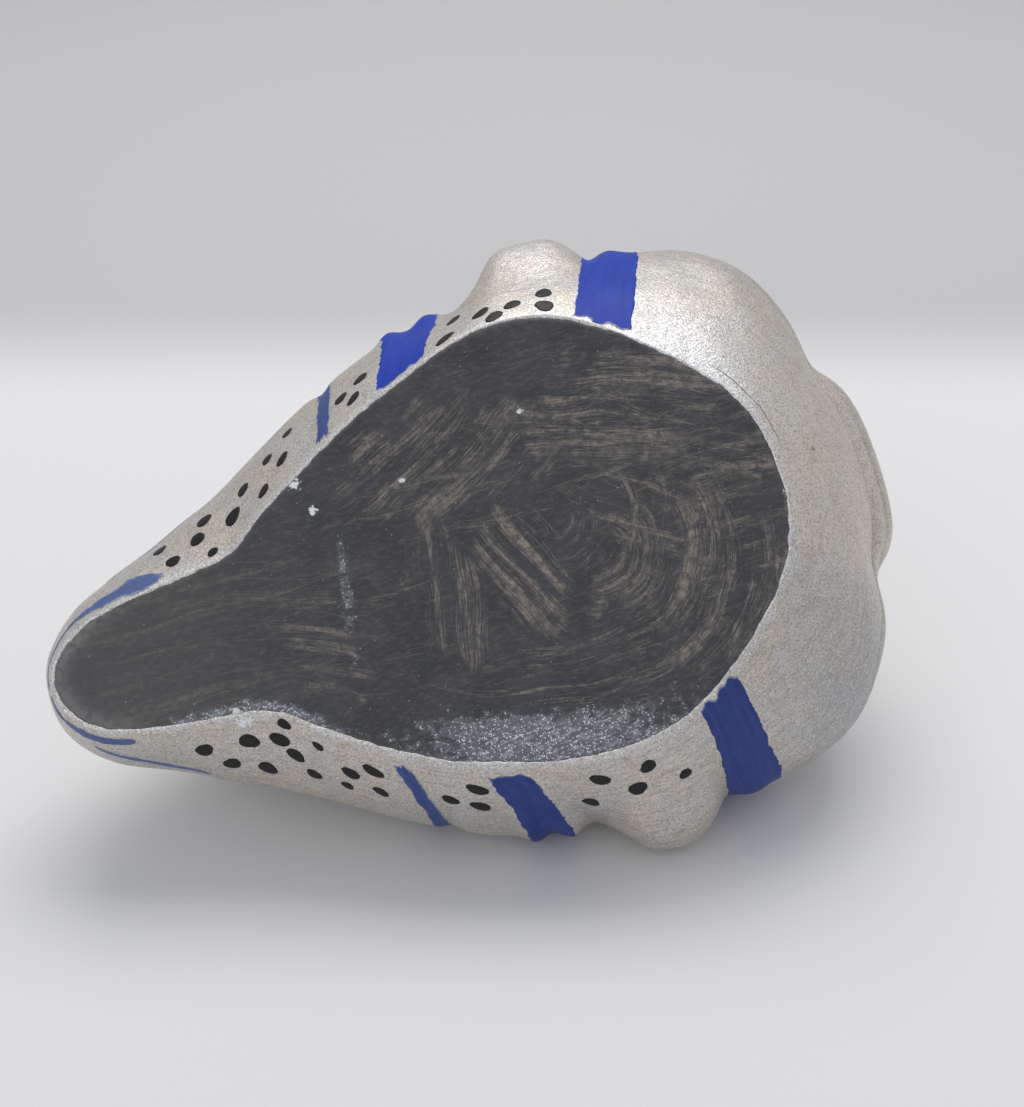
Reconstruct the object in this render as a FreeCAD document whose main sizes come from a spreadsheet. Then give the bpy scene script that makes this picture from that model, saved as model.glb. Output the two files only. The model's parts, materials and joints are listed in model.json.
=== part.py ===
import FreeCAD, Part
import math
import os

from FreeCAD import Placement, Rotation, Vector

# A small solid carved model of a goalie mask, lying on its right flank with its flat
# back turned up and outwards. Lengths are in millimetres.
#
# The carving is drawn in its own axes: u runs from the chin tip to the forehead, v to the
# wearer's left, and w is the height above the flat back, so the carving has w below zero.
# One shared placement then lays every piece down on the floor.

# ---------------------------------------------------------------- driving sizes
SIZES = [
    ("mask_length", 83.7, "chin tip to forehead, over the flank"),
    ("mask_width", 57.4, "across the cheeks, over the flank"),
    ("mask_depth", 38.9, "flat back to the front, without the nose ridge"),
    ("back_length", 71.2, "flat back, chin to forehead"),
    ("back_width", 40.8, "flat back, across"),
    ("nose_height", 5.0, "nose ridge above the front"),
    ("paint_depth", 0.5, "depth of every painted inlay"),
    ("paint_margin", 0.15, "bare wood between the back and the paint"),
    ("board_thickness", 1.4, "back board"),
    ("board_proud", 0.1, "back board above the rim"),
    ("board_margin", 0.6, "rim of the carving round the back board"),
    ("dot_radius", 0.85, "painted vent dot"),
    ("eye_length", 6.6, "painted eye, along u"),
    ("eye_width", 9.6, "painted eye, across"),
    ("mouth_width", 9.0, "painted mouth bar, across"),
    ("mouth_height", 1.3, "painted mouth bar, along u"),
    ("mouth_pitch", 3.2, "from one mouth bar to the next"),
    ("chin_stroke_height", 1.5, "chin stroke beside the back"),
    ("chin_line_height", 0.7, "thin chin line lower on the flank"),
    ("lie_roll", 17.0, "degrees, forehead end up"),
    ("lie_lean", 41.6, "degrees, rise of the back's outward direction"),
]

# The station table is drawn for the sizes above; the sheet's sizes stretch it.
DRAWN = {name: value for name, value, note in SIZES}

# back u, back v, flank u, flank v, flank depth, front u, front depth
STATIONS = [
    (0.8, 0.0, -0.7, 0.0, 5.0, 9.0, 14.6),
    (1.5, 2.5, 0.1, 3.9, 5.2, 10.0, 15.5),
    (4.0, 4.8, 3.4, 7.5, 5.8, 12.0, 18.6),
    (8.5, 6.2, 7.6, 9.6, 6.5, 15.0, 22.1),
    (14.5, 7.0, 12.6, 12.0, 7.5, 19.0, 25.7),
    (19.8, 7.9, 19.0, 15.1, 8.5, 24.0, 29.2),
    (23.8, 10.6, 25.0, 18.8, 9.5, 28.5, 32.3),
    (28.0, 13.2, 30.0, 21.7, 10.0, 32.0, 35.0),
    (32.0, 15.5, 34.5, 24.0, 10.5, 35.5, 37.2),
    (36.0, 17.4, 39.3, 25.6, 11.0, 39.0, 38.5),
    (40.5, 18.9, 44.0, 26.5, 11.5, 43.0, 38.9),
    (45.0, 19.9, 48.5, 27.4, 12.0, 46.5, 38.9),
    (49.5, 20.4, 52.5, 28.4, 12.0, 50.0, 38.9),
    (54.0, 20.1, 56.8, 28.7, 12.5, 53.5, 38.8),
    (58.0, 18.9, 61.3, 28.1, 13.0, 57.0, 38.2),
    (62.0, 16.5, 66.0, 27.6, 13.5, 60.0, 37.3),
    (65.8, 13.4, 71.0, 26.0, 14.0, 63.0, 35.9),
    (68.8, 10.1, 76.0, 22.7, 14.5, 65.5, 34.2),
    (70.8, 6.8, 79.8, 17.2, 15.0, 67.0, 32.2),
    (71.8, 3.4, 82.0, 9.6, 15.5, 68.0, 30.4),
    (72.0, 0.0, 83.0, 0.0, 16.0, 68.5, 29.6),
]
ODD = (1, -1, 1, -1, 1, 1, 1)      # columns that change sign across the middle plane
LAST = len(STATIONS) - 1

# Carved relief: station, reach in stations, turn, reach in turns, height.
# A turn of 0 is the edge of the back, 1 the widest line of the flank, 2 the front ridge.
RELIEF = [
    (13.85, 0.20, 0.90, 0.40, -0.4),   # groove ahead of the temple rib
    (14.4, 0.33, 0.90, 0.34, 0.6),     # temple rib
    (16.3, 1.20, 0.90, 0.34, 0.6),     # forehead lobe
    (9.15, 0.26, 0.90, 0.34, 0.7),     # cheek ribs
    (9.95, 0.26, 0.90, 0.34, 0.7),
    (10.6, 0.30, 0.90, 0.40, -0.4),    # groove behind the cheek ribs
    (7.5, 0.22, 0.90, 0.40, -0.5),     # jaw groove
    (18.8, 0.40, 1.00, 0.50, -0.5),    # notch beside the crest
    (20.0, 2.60, 0.80, 0.05, -0.6),    # groove inside the crest
    (14.9, 1.60, 1.39, 0.20, 1.75),    # brow ridge
    (12.3, 1.00, 1.66, 0.10, -2.2),    # eye hollow
    (5.3, 0.35, 2.00, 0.30, -1.0),     # mouth groove
]
# Lumps with steep sides: the same five numbers, then the steepness.
LUMPS = [
    (12.35, 1.20, 0.90, 0.34, 2.8, 3.5),   # cheek lump
    (20.0, 1.15, 1.10, 0.22, 2.7, 5.0),    # crest at the forehead end
]
NOSE = (10.5, 3.2, 2.0, 0.14)          # nose ridge, with its height in the sheet

RISE_SHARE = 0.45       # how steeply the flank leaves the back
ROUND_END = 2.0         # section power at the chin and the forehead: an ellipse
ROUND_DROP = 0.9        # how far the power falls at mid length: nearly flat sides
ROUND_AT = 10.5
ROUND_REACH = 7.0
SIDE_FULLNESS = 0.65    # under 1 the sides swell a little between the flank and the ridge
LEAN_SHIFT = 1.7        # the left flank's features sit forward and the right's back
LEAN_AT = 13.0
LEAN_REACH = 2.8
RIM_FADE = 0.3          # relief fades in over this much of a turn from the back

ROWS_PER_STATION = 3
FLANK_ROWS = 8
FRONT_ROWS = 14

# ---------------------------------------------------------------- painted marks
# Bands: node, stations at the back's edge, stations further out, for left and right.
BANDS = {
    "jaw_stripe": {"left": (7.6, 7.95, 7.25, 7.65), "right": (7.15, 7.5, 7.15, 7.5)},
    "cheek_stripe": {"left": (9.25, 10.4, 8.8, 10.2), "right": (9.1, 10.0, 9.0, 10.1)},
    "temple_stripe": {"left": (13.87, 15.1, 13.6, 15.1), "right": (14.05, 15.0, 13.77, 15.0)},
}
BAND_OUTREACH = 1.35    # outer end of a band's outline, as a share of the flank

# Dots: (station, turn) of each.
DOTS = {
    "chin_dots_left": [(4.0, 0.52), (4.2, 0.28), (4.6, 0.3), (4.8, 0.46), (5.3, 0.24),
                       (5.6, 0.38), (6.1, 0.2), (6.2, 0.42), (6.6, 0.27), (6.7, 0.5)],
    "chin_dots_right": [(3.8, 0.34), (4.5, 0.24), (4.2, 0.5), (5.0, 0.22), (4.7, 0.53),
                        (5.2, 0.36), (5.7, 0.2), (5.4, 0.5), (6.1, 0.33), (5.9, 0.5),
                        (6.6, 0.24), (6.5, 0.45)],
    "jaw_dots_left": [(8.1, 0.36), (8.5, 0.18), (8.65, 0.44)],
    "jaw_dots_right": [(8.7, 0.23), (7.95, 0.35), (8.5, 0.42)],
    "cheek_dots_left": [(10.9, 0.2), (11.0, 0.4), (11.6, 0.28), (12.1, 0.2), (12.4, 0.31),
                        (13.0, 0.33), (13.1, 0.2)],
    "cheek_dots_right": [(11.3, 0.2), (10.8, 0.42), (12.4, 0.2), (12.0, 0.36), (13.1, 0.34)],
    "forehead_dots": [(15.8, 1.6), (15.8, 1.78), (17.2, 1.6), (17.2, 1.78)],
}
CHIN_STROKE_END = {"left": 12.4, "right": 8.0}          # where the stroke stops, along u
CHIN_LINE_SPAN = {"left": (9.0, 18.0), "right": (3.5, 12.7)}
CHIN_LINE_DROP = {"left": 5.4, "right": 4.0}            # below the back
EYE_CENTRE = (51.0, 10.0)
MOUTH_AT = 22.5
MOUTH_BARS = 2
FRONT_TOOL_TOP = 14.0   # front tools start this deep, well inside the carving
MOUNT_AT = 48.0         # centre of the wide part of the back, along u
OUTSIDE = 8.0           # how far the tools reach outside the carving


def make_sheet(doc):
    sheet = doc.addObject("Spreadsheet::Sheet", "Sizes")
    for row, (name, value, note) in enumerate(SIZES, start=1):
        sheet.set("A%d" % row, name)
        sheet.set("B%d" % row, str(value))
        sheet.set("C%d" % row, note)
        sheet.setAlias("B%d" % row, name)
    doc.recompute()
    return sheet


def size(sheet, name):
    return float(sheet.get(name))


def station_row(place, sheet):
    """The station table at a fractional station, as a smooth curve through its rows."""
    before = min(int(place), LAST - 1)
    part = place - before
    rows = []
    for index in range(before - 1, before + 3):
        if index < 0:
            rows.append([sign * value for sign, value in zip(ODD, STATIONS[-index])])
        elif index > LAST:
            rows.append([sign * value for sign, value in zip(ODD, STATIONS[2 * LAST - index])])
        else:
            rows.append(STATIONS[index])
    smooth = []
    for a, b, c, d in zip(*rows):
        bend = 2 * a - 5 * b + 4 * c - d
        twist = 3 * b - a - 3 * c + d
        smooth.append(0.5 * (2 * b + (c - a) * part + bend * part ** 2 + twist * part ** 3))
    along_back = size(sheet, "back_length") / DRAWN["back_length"]
    across_back = size(sheet, "back_width") / DRAWN["back_width"]
    along = size(sheet, "mask_length") / DRAWN["mask_length"]
    across = size(sheet, "mask_width") / DRAWN["mask_width"]
    deep = size(sheet, "mask_depth") / DRAWN["mask_depth"]
    stretch = (along_back, across_back, along, across, deep, along, deep)
    return [value * factor for value, factor in zip(smooth, stretch)]


def bell(distance, reach):
    return math.exp(-(distance / reach) ** 2)


def relief_height(place, turn, sheet):
    height = size(sheet, "nose_height") * bell(place - NOSE[0], NOSE[1]) * bell(turn - NOSE[2], NOSE[3])
    for at, reach, at_turn, turn_reach, rise in RELIEF:
        height += rise * bell(place - at, reach) * bell(turn - at_turn, turn_reach)
    for at, reach, at_turn, turn_reach, rise, steepness in LUMPS:
        steep = math.exp(-abs((place - at) / reach) ** steepness)
        height += rise * steep * bell(turn - at_turn, turn_reach)
    fade = min(turn / RIM_FADE, 1.0)
    return height * fade * fade * (3 - 2 * fade)


def skin_point(place, turn, side, lift, sheet):
    """A point of the carving's skin, on the left (side 1) or the right (side -1)."""
    back_u, back_v, flank_u, flank_v, flank_w, front_u, front_w = station_row(place, sheet)
    if turn <= 1:
        angle = turn * math.pi / 2
        out = math.sin(angle)
        u = back_u + (flank_u - back_u) * out
        v = back_v + (flank_v - back_v) * out
        w = -flank_w * ((1 - RISE_SHARE) * (1 - math.cos(angle)) + RISE_SHARE * out)
    else:
        angle = (turn - 1) * math.pi / 2
        power = 2 / (ROUND_END - ROUND_DROP * bell(place - ROUND_AT, ROUND_REACH))
        out = max(math.cos(angle), 0.0) ** power
        down = math.sin(angle) ** (1 + (power - 1) * SIDE_FULLNESS)
        u = front_u + (flank_u - front_u) * out
        v = flank_v * out
        w = -flank_w - (front_w - flank_w) * down
    reach = math.hypot(flank_u - front_u, flank_v)
    outward = math.sin(turn * math.pi / 2)
    height = relief_height(place, turn, sheet) + lift
    if 0 < place < LAST and turn < 2:
        u += side * LEAN_SHIFT * bell(place - LEAN_AT, LEAN_REACH) * outward
    u += height * (flank_u - front_u) / reach * outward
    v += height * flank_v / reach * outward
    w += height * math.cos(turn * math.pi / 2)
    return Vector(u, side * abs(v), w)


def even_knots(count):
    """Knots and multiplicities of an evenly knotted cubic with this many poles."""
    knots = list(range(count - 2))
    return knots, [4] + [1] * (count - 4) + [4]


def skin_face(side, lift, sheet):
    """Half of the skin as one smooth cubic surface over a net of skin points."""
    rows = LAST * ROWS_PER_STATION + 1
    turns = [index / FLANK_ROWS for index in range(FLANK_ROWS)]
    turns += [1 + index / FRONT_ROWS for index in range(FRONT_ROWS + 1)]
    net = []
    for row in range(rows):
        place = row / ROWS_PER_STATION
        net.append([skin_point(place, turn, side, lift, sheet) for turn in turns])
    knots_along, counts_along = even_knots(rows)
    knots_round, counts_round = even_knots(len(turns))
    surface = Part.BSplineSurface()
    surface.buildFromPolesMultsKnots(net, counts_along, counts_round, knots_along,
                                     knots_round, False, False, 3, 3)
    return surface.toShape()


def flat_back(faces):
    """The flat face that closes both halves of the skin along their highest edges."""
    edges = []
    for face in faces:
        edges.append(max(face.Edges, key=lambda edge: edge.CenterOfMass.z))
    return Part.Face(Part.Wire(Part.__sortEdges__(edges)))


def closed_skin(lift, sheet):
    faces = [skin_face(1, lift, sheet), skin_face(-1, lift, sheet)]
    faces.append(flat_back(faces))
    shell = Part.Shell(faces)
    shell.sewShape()
    solid = Part.makeSolid(Part.Shell(shell.Faces))
    if solid.Volume < 0:
        solid.reverse()
    return solid


def add_shape(doc, name, shape):
    feature = doc.addObject("Part::Feature", name)
    feature.Shape = shape
    return feature


def add_cut(doc, name, base, tool):
    feature = doc.addObject("Part::Cut", name)
    feature.Base = base
    feature.Tool = tool
    return feature


def add_common(doc, name, base, tool):
    feature = doc.addObject("Part::Common", name)
    feature.Base = base
    feature.Tool = tool
    return feature


def add_group(doc, name, members):
    feature = doc.addObject("Part::Compound", name)
    feature.Links = members
    return feature


def band_outline(doc, name, stations, side, sheet):
    """A flat four-cornered outline across the flank, extruded through its full depth."""
    start_in, end_in, start_out, end_out = stations
    top = -size(sheet, "paint_depth") - size(sheet, "paint_margin")
    corners = []
    for place, turn, share in ((start_in, 0, 0.97), (start_out, 1, BAND_OUTREACH),
                               (end_out, 1, BAND_OUTREACH), (end_in, 0, 0.97)):
        edge = skin_point(place, 0, side, 0, sheet)
        point = skin_point(place, turn, side, 0, sheet)
        if turn:
            point = edge + (point - edge) * share
        corners.append(Vector(point.x, point.y * (share if not turn else 1), top))
    outline = add_shape(doc, name + "_outline", Part.Face(Part.makePolygon(corners + corners[:1])))
    block = doc.addObject("Part::Extrusion", name + "_block")
    block.Base = outline
    block.DirMode = "Custom"
    block.Dir = Vector(0, 0, -1)
    block.setExpression("LengthFwd", "Sizes.mask_depth")
    block.Solid = True
    return block


def slab(doc, name, u_from, u_to, side, top_rule, height_rule):
    """A box on one side of the middle plane, its top and height bound to the sheet."""
    box = doc.addObject("Part::Box", name)
    box.Length = u_to - u_from
    box.setExpression("Width", "Sizes.mask_width / 2")
    box.setExpression("Height", height_rule)
    box.Placement.Base.x = u_from
    if side < 0:
        box.setExpression("Placement.Base.y", "-Sizes.mask_width / 2")
    box.setExpression("Placement.Base.z", "-(%s) - (%s)" % (top_rule, height_rule))
    return box


def dot_pegs(doc, name, places, side, sheet):
    """Round pegs that stand square to the skin, one for each dot."""
    pegs = []
    for index, (place, turn) in enumerate(places):
        centre = skin_point(place, turn, side, 0, sheet)
        along = skin_point(place + 0.1, turn, side, 0, sheet) - centre
        around = skin_point(place, turn + 0.02, side, 0, sheet) - centre
        square = along.cross(around)
        if side < 0:
            square = square * -1
        square.normalize()
        peg = doc.addObject("Part::Cylinder", "%s_peg_%d" % (name, index + 1))
        peg.setExpression("Radius", "Sizes.dot_radius")
        peg.setExpression("Height", "Sizes.paint_depth * 4")
        peg.Placement = Placement(centre - square * size(sheet, "paint_depth"),
                                  Rotation(Vector(0, 0, 1), square))
        pegs.append(peg)
    return pegs


def eye_block(doc, name, side):
    """An upright oval cylinder over one eye hollow."""
    oval = doc.addObject("Part::Ellipse", name + "_oval")
    oval.setExpression("MajorRadius", "Sizes.eye_width / 2")
    oval.setExpression("MinorRadius", "Sizes.eye_length / 2")
    oval.Placement = Placement(Vector(EYE_CENTRE[0], side * EYE_CENTRE[1], -FRONT_TOOL_TOP),
                               Rotation(Vector(0, 0, 1), 90))
    block = doc.addObject("Part::Extrusion", name + "_block")
    block.Base = oval
    block.DirMode = "Custom"
    block.Dir = Vector(0, 0, -1)
    block.setExpression("LengthFwd", "Sizes.mask_depth + Sizes.nose_height")
    block.Solid = True
    return block


def mouth_blocks(doc):
    bars = []
    for index in range(MOUTH_BARS):
        bar = doc.addObject("Part::Box", "mouth_bar_%d" % (index + 1))
        bar.setExpression("Length", "Sizes.mouth_height")
        bar.setExpression("Width", "Sizes.mouth_width")
        bar.setExpression("Height", "Sizes.mask_depth")
        bar.setExpression("Placement.Base.x",
                          "%s - %s * Sizes.mouth_pitch" % (MOUTH_AT, index))
        bar.setExpression("Placement.Base.y", "-Sizes.mouth_width / 2")
        bar.setExpression("Placement.Base.z", "-Sizes.mask_depth - %s" % FRONT_TOOL_TOP)
        bars.append(bar)
    return bars


def inset_outline(margin, sheet):
    """The back's outline drawn in by the margin, square to its own run, as one closed curve."""
    half = []
    for place in range(LAST + 1):
        here = skin_point(place, 0, 1, 0, sheet)
        run = skin_point(min(place + 0.05, LAST), 0, 1, 0, sheet)
        run = run - skin_point(max(place - 0.05, 0), 0, 1, 0, sheet)
        if place in (0, LAST):
            run = Vector(0, 1 if place == 0 else -1, 0)
        run.normalize()
        half.append(Vector(here.x + run.y * margin, here.y - run.x * margin, 0))
    other = [Vector(point.x, -point.y, 0) for point in reversed(half[1:-1])]
    curve = Part.BSplineCurve()
    curve.interpolate(half + other, PeriodicFlag=True)
    return Part.Face(Part.Wire(curve.toShape()))


def back_board(doc, sheet):
    """The board, which also cuts its own recess."""
    outline = add_shape(doc, "board_outline", inset_outline(size(sheet, "board_margin"), sheet))
    board = doc.addObject("Part::Extrusion", "back_board")
    board.Base = outline
    board.DirMode = "Custom"
    board.Dir = Vector(0, 0, 1)
    board.setExpression("LengthFwd", "Sizes.board_proud")
    board.setExpression("LengthRev", "Sizes.board_thickness - Sizes.board_proud")
    board.Solid = True
    return board


def painted_pieces(doc, blank, core, sheet):
    """Every painted mark: its bed is what the tools take off, its inlay what fills it."""
    tools = {"chin_stroke": []}
    for side_name, side in (("left", 1), ("right", -1)):
        margin = "Sizes.paint_depth + Sizes.paint_margin"
        tools["chin_stroke"].append(
            slab(doc, "chin_stroke_slab_" + side_name, -OUTSIDE, CHIN_STROKE_END[side_name],
                 side, margin, "Sizes.chin_stroke_height"))
        span = CHIN_LINE_SPAN[side_name]
        tools["chin_line_" + side_name] = [
            slab(doc, "chin_line_slab_" + side_name, span[0], span[1], side,
                 "%s" % CHIN_LINE_DROP[side_name], "Sizes.chin_line_height")]
        for name, stations in BANDS.items():
            node = "%s_%s" % (name, side_name)
            tools[node] = [band_outline(doc, node, stations[side_name], side, sheet)]
        tools["eye_" + side_name] = [eye_block(doc, "eye_" + side_name, side)]
    tools["mouth_bars"] = mouth_blocks(doc)
    beds = []
    inlays = {}
    for node, blocks in tools.items():
        group = blocks[0]
        if len(blocks) > 1:
            group = doc.addObject("Part::MultiFuse", node + "_tools")
            group.Shapes = blocks
        bed = add_cut(doc, node + "_bed", group, core)
        beds.append(bed)
        inlays[node] = add_common(doc, node, blank, bed)
    for node, places in DOTS.items():
        if node.endswith("_left"):
            pegs = dot_pegs(doc, node, places, 1, sheet)
        elif node.endswith("_right"):
            pegs = dot_pegs(doc, node, places, -1, sheet)
        else:
            pegs = dot_pegs(doc, node + "_left", places, 1, sheet)
            pegs += dot_pegs(doc, node + "_right", places, -1, sheet)
        group = add_group(doc, node + "_pegs", pegs)
        beds.append(group)
        inlays[node] = add_common(doc, node, blank, group)
    return beds, inlays


def lying_placement(shape, sheet):
    """Rolls the forehead end up, leans the back outwards and sets the lowest point at zero."""
    roll = Rotation(Vector(0, 0, 1), size(sheet, "lie_roll"))
    lean = Rotation(Vector(1, 0, 0), 90 - size(sheet, "lie_lean"))
    turn = lean.multiply(roll)
    points = [turn.multVec(point) for point in shape.tessellate(0.02)[0]]
    low = [min(point[axis] for point in points) for axis in range(3)]
    high = [max(point[axis] for point in points) for axis in range(3)]
    shift = Vector(-(low[0] + high[0]) / 2, -(low[1] + high[1]) / 2, -low[2])
    return Placement(shift, turn)


def check(doc):
    for item in doc.Objects:
        if "Invalid" in item.State or "Error" in item.State:
            raise RuntimeError("%s failed: %s" % (item.Name, item.State))


def write_pieces(pieces):
    os.makedirs("parts", exist_ok=True)
    for node, piece in pieces.items():
        if piece.Shape.isNull() or not piece.Shape.isValid():
            raise RuntimeError("%s has no valid shape" % node)
    for node, piece in pieces.items():
        piece.Shape.exportStep(os.path.join("parts", node + ".step"))
        print("%-22s solids %2d  volume %9.2f" % (node, len(piece.Shape.Solids), piece.Shape.Volume))


def main():
    doc = FreeCAD.newDocument("goalie_mask")
    sheet = make_sheet(doc)
    blank = add_shape(doc, "carving_blank", closed_skin(0.0, sheet))
    core = add_shape(doc, "unpainted_core", closed_skin(-size(sheet, "paint_depth"), sheet))
    board = back_board(doc, sheet)
    beds, inlays = painted_pieces(doc, blank, core, sheet)
    body = add_cut(doc, "carved_body", blank, add_group(doc, "all_beds", beds + [board]))
    doc.recompute()
    check(doc)
    pieces = {"carved_body": body, "back_board": board}
    pieces.update(inlays)
    lying = lying_placement(blank.Shape, sheet)
    for node, piece in pieces.items():
        piece.Label = node
        piece.Placement = lying
    face_centre = lying.multVec(Vector(MOUNT_AT, 0, size(sheet, "board_proud")))
    print("back face centre", face_centre, "outward", lying.Rotation.multVec(Vector(0, 0, 1)))
    write_pieces(pieces)


main()
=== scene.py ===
"""Looks of a small carved goalie mask that lies on its flank with its flat back showing.

The carving, its back board and every painted mark are surfaces worked out from one
station table, in the carving's own axes and in millimetres: u runs from the chin tip to
the forehead, v to the wearer's left, and w is the height above the flat back, so the
carving has w below zero. One placement then lays every piece down on the floor.
"""

import json
import math

import bpy
import numpy as np
from bpy.props import FloatProperty, FloatVectorProperty, PointerProperty
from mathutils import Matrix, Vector


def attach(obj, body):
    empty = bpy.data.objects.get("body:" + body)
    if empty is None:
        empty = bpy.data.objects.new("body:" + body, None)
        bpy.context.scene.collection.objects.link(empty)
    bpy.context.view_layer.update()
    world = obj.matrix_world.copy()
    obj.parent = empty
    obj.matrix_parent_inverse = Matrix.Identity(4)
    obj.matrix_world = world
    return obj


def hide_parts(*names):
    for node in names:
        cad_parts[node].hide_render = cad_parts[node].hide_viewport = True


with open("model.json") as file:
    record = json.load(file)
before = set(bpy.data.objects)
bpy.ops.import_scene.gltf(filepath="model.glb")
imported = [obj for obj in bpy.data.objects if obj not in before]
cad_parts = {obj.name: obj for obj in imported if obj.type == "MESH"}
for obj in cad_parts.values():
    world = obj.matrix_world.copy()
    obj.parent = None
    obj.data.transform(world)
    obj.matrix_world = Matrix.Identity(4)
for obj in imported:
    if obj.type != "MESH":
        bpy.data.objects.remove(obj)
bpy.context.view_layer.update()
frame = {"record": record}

bl_info = {
    "name": "Carved Goalie Mask",
    "version": (1, 0, 0),
    "blender": (4, 5, 0),
    "location": "View3D > Sidebar > Mask",
    "description": "Builds a small hand-carved and hand-painted goalie mask",
    "category": "Add Mesh",
}

MM = 0.001

# ---------------------------------------------------------------- shape of the carving
# back u, back v, flank u, flank v, flank depth, front u, front depth
STATIONS = np.array([
    (0.8, 0.0, -0.7, 0.0, 5.0, 9.0, 14.6),
    (1.5, 2.5, 0.1, 3.9, 5.2, 10.0, 15.5),
    (4.0, 4.8, 3.4, 7.5, 5.8, 12.0, 18.6),
    (8.5, 6.2, 7.6, 9.6, 6.5, 15.0, 22.1),
    (14.5, 7.0, 12.6, 12.0, 7.5, 19.0, 25.7),
    (19.8, 7.9, 19.0, 15.1, 8.5, 24.0, 29.2),
    (23.8, 10.8, 25.0, 18.8, 9.5, 28.5, 32.3),
    (28.0, 13.5, 30.0, 21.7, 10.0, 32.0, 35.0),
    (32.0, 15.8, 34.5, 24.0, 10.5, 35.5, 37.2),
    (36.0, 17.7, 39.3, 25.6, 11.0, 39.0, 38.5),
    (40.5, 19.2, 44.0, 26.5, 11.5, 43.0, 38.9),
    (45.0, 20.5, 48.5, 27.4, 12.0, 46.5, 38.9),
    (49.5, 21.05, 52.5, 28.4, 12.0, 50.0, 38.9),
    (54.0, 20.6, 56.8, 28.7, 12.5, 53.5, 38.8),
    (58.0, 19.15, 61.3, 28.1, 13.0, 57.0, 38.2),
    (62.0, 16.5, 66.0, 27.6, 13.5, 60.0, 37.3),
    (65.8, 13.4, 71.0, 26.0, 14.0, 63.0, 35.9),
    (68.8, 10.1, 76.0, 22.7, 14.5, 65.5, 34.2),
    (70.8, 6.8, 79.8, 17.2, 15.0, 67.0, 32.2),
    (71.8, 3.4, 82.0, 9.6, 15.5, 68.0, 30.4),
    (72.0, 0.0, 83.0, 0.0, 16.0, 68.5, 29.6),
])
LAST = len(STATIONS) - 1
ODD = np.array((1, -1, 1, -1, 1, 1, 1))     # columns that change sign across the middle plane

# Carved relief: station, reach in stations, turn, reach in turns, height in millimetres.
# A turn of 0 is the edge of the back, 1 the widest line of the flank, 2 the front ridge.
RELIEF = [
    (14.4, 0.33, 0.90, 0.34, 0.6),      # temple rib
    (16.3, 1.20, 0.90, 0.34, 0.6),      # forehead lobe
    (9.15, 0.26, 0.90, 0.34, 0.75),     # cheek ribs
    (9.95, 0.26, 0.90, 0.34, 0.75),
    (18.8, 0.40, 1.00, 0.50, -0.6),     # notch beside the crest
    (14.9, 1.60, 1.39, 0.20, 1.75),     # brow ridge
    (12.3, 1.00, 1.66, 0.10, -2.2),     # eye hollow
    (10.5, 3.20, 2.00, 0.14, 5.0),      # nose ridge
    (5.3, 0.35, 2.00, 0.30, -1.0),      # mouth groove
]
GROOVES = [
    (13.85, 0.20, 0.90, 0.40, -0.45),   # ahead of the temple rib
    (10.6, 0.30, 0.90, 0.40, -0.45),    # behind the cheek ribs
    (7.5, 0.22, 0.90, 0.40, -0.5),      # jaw
    (20.0, 2.00, 0.79, 0.036, -1.1),    # inside the crest
    (20.0, 1.10, 0.93, 0.022, -0.25),   # a second, fainter line in the crest
]
# What one side has more of than the other: side, then the same five numbers.
ONE_SIDED = [
    (1, 17.2, 1.10, 0.90, 0.34, 0.85),      # fuller left shoulder
    (1, 11.6, 0.45, 0.90, 0.34, 0.55),      # steeper chin side of the left cheek lump
    (-1, 18.8, 0.45, 1.00, 0.50, -0.55),    # deeper right notch
]
# Lumps with steep sides: the same five numbers and their steepness.
LUMPS = [
    (12.35, 1.20, 0.90, 0.34, 2.8, 3.5),    # cheek lump
    (20.0, 1.15, 1.10, 0.22, 2.7, 5.0),     # crest at the forehead end
]

RISE_SHARE = 0.45       # how steeply the flank leaves the back
ROUND_END = 2.0         # section power at the chin and the forehead: an ellipse
ROUND_DROP = 0.9        # how far the power falls at mid length: nearly flat sides
ROUND_AT = 10.5
ROUND_REACH = 7.0
SIDE_FULLNESS = 0.65
LEAN_SHIFT = 1.7        # the left flank's features sit forward and the right's back
LEAN_AT = 13.0
LEAN_REACH = 2.8
RIM_FADE = 0.3
SWAY = 0.35             # the back sways to the left at the cheeks and right at the jaw
LEFT_SWAY = 0.45

KNIFE_WAVES = 0.10      # slow unevenness that hand carving leaves, in millimetres
KNIFE_SIZE = 7.0
SKIN_WRINKLES = 0.035   # fine wrinkles of thick paint on the lumps
WRINKLE_SIZE = 1.1
WAVE_SPREAD = (0.6, 1.7)        # shortest and longest wave over the size asked for
WAVE_SCALE = 0.6                # brings the sum of the waves near -1 to 1

BOARD_MARGIN = 0.30     # rim of the carving round the dark back
BOARD_RAGGED = 0.12
BOARD_TOP = 0.10
RECESS = -1.35

ROWS = 330
FLANK_COLUMNS = 58
FRONT_COLUMNS = 52
BOARD_ROWS = 260
BOARD_COLUMNS = 90
END_PACKING = 0.045     # how much closer the rows lie towards the chin and the forehead

STATION_MM = 4.6        # rough millimetres in a station, for patterns that follow the body
TURN_MM = 22.0          # and in a turn
PAINT_SINK = 0.18       # how far the border and the underside of a film lie under the skin
TURN_RANGE = (0.004, 1.99)      # painted bands stay clear of the back's edge and the ridge
BACK_MIDDLE = (48.0, 0.0, 0.1)  # where the record's mount lies, in the carving's own axes
LOOK_AT = (45.315, -0.131, 0.0)


def bell(distance, reach):
    """A smooth bump: e to the minus square of distance over reach."""
    return np.exp(-(distance / reach) ** 2)


def steep_bell(distance, reach, steepness):
    """A flat-topped bump: e to the minus power of distance over reach."""
    return np.exp(-np.abs(distance / reach) ** steepness)


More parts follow.
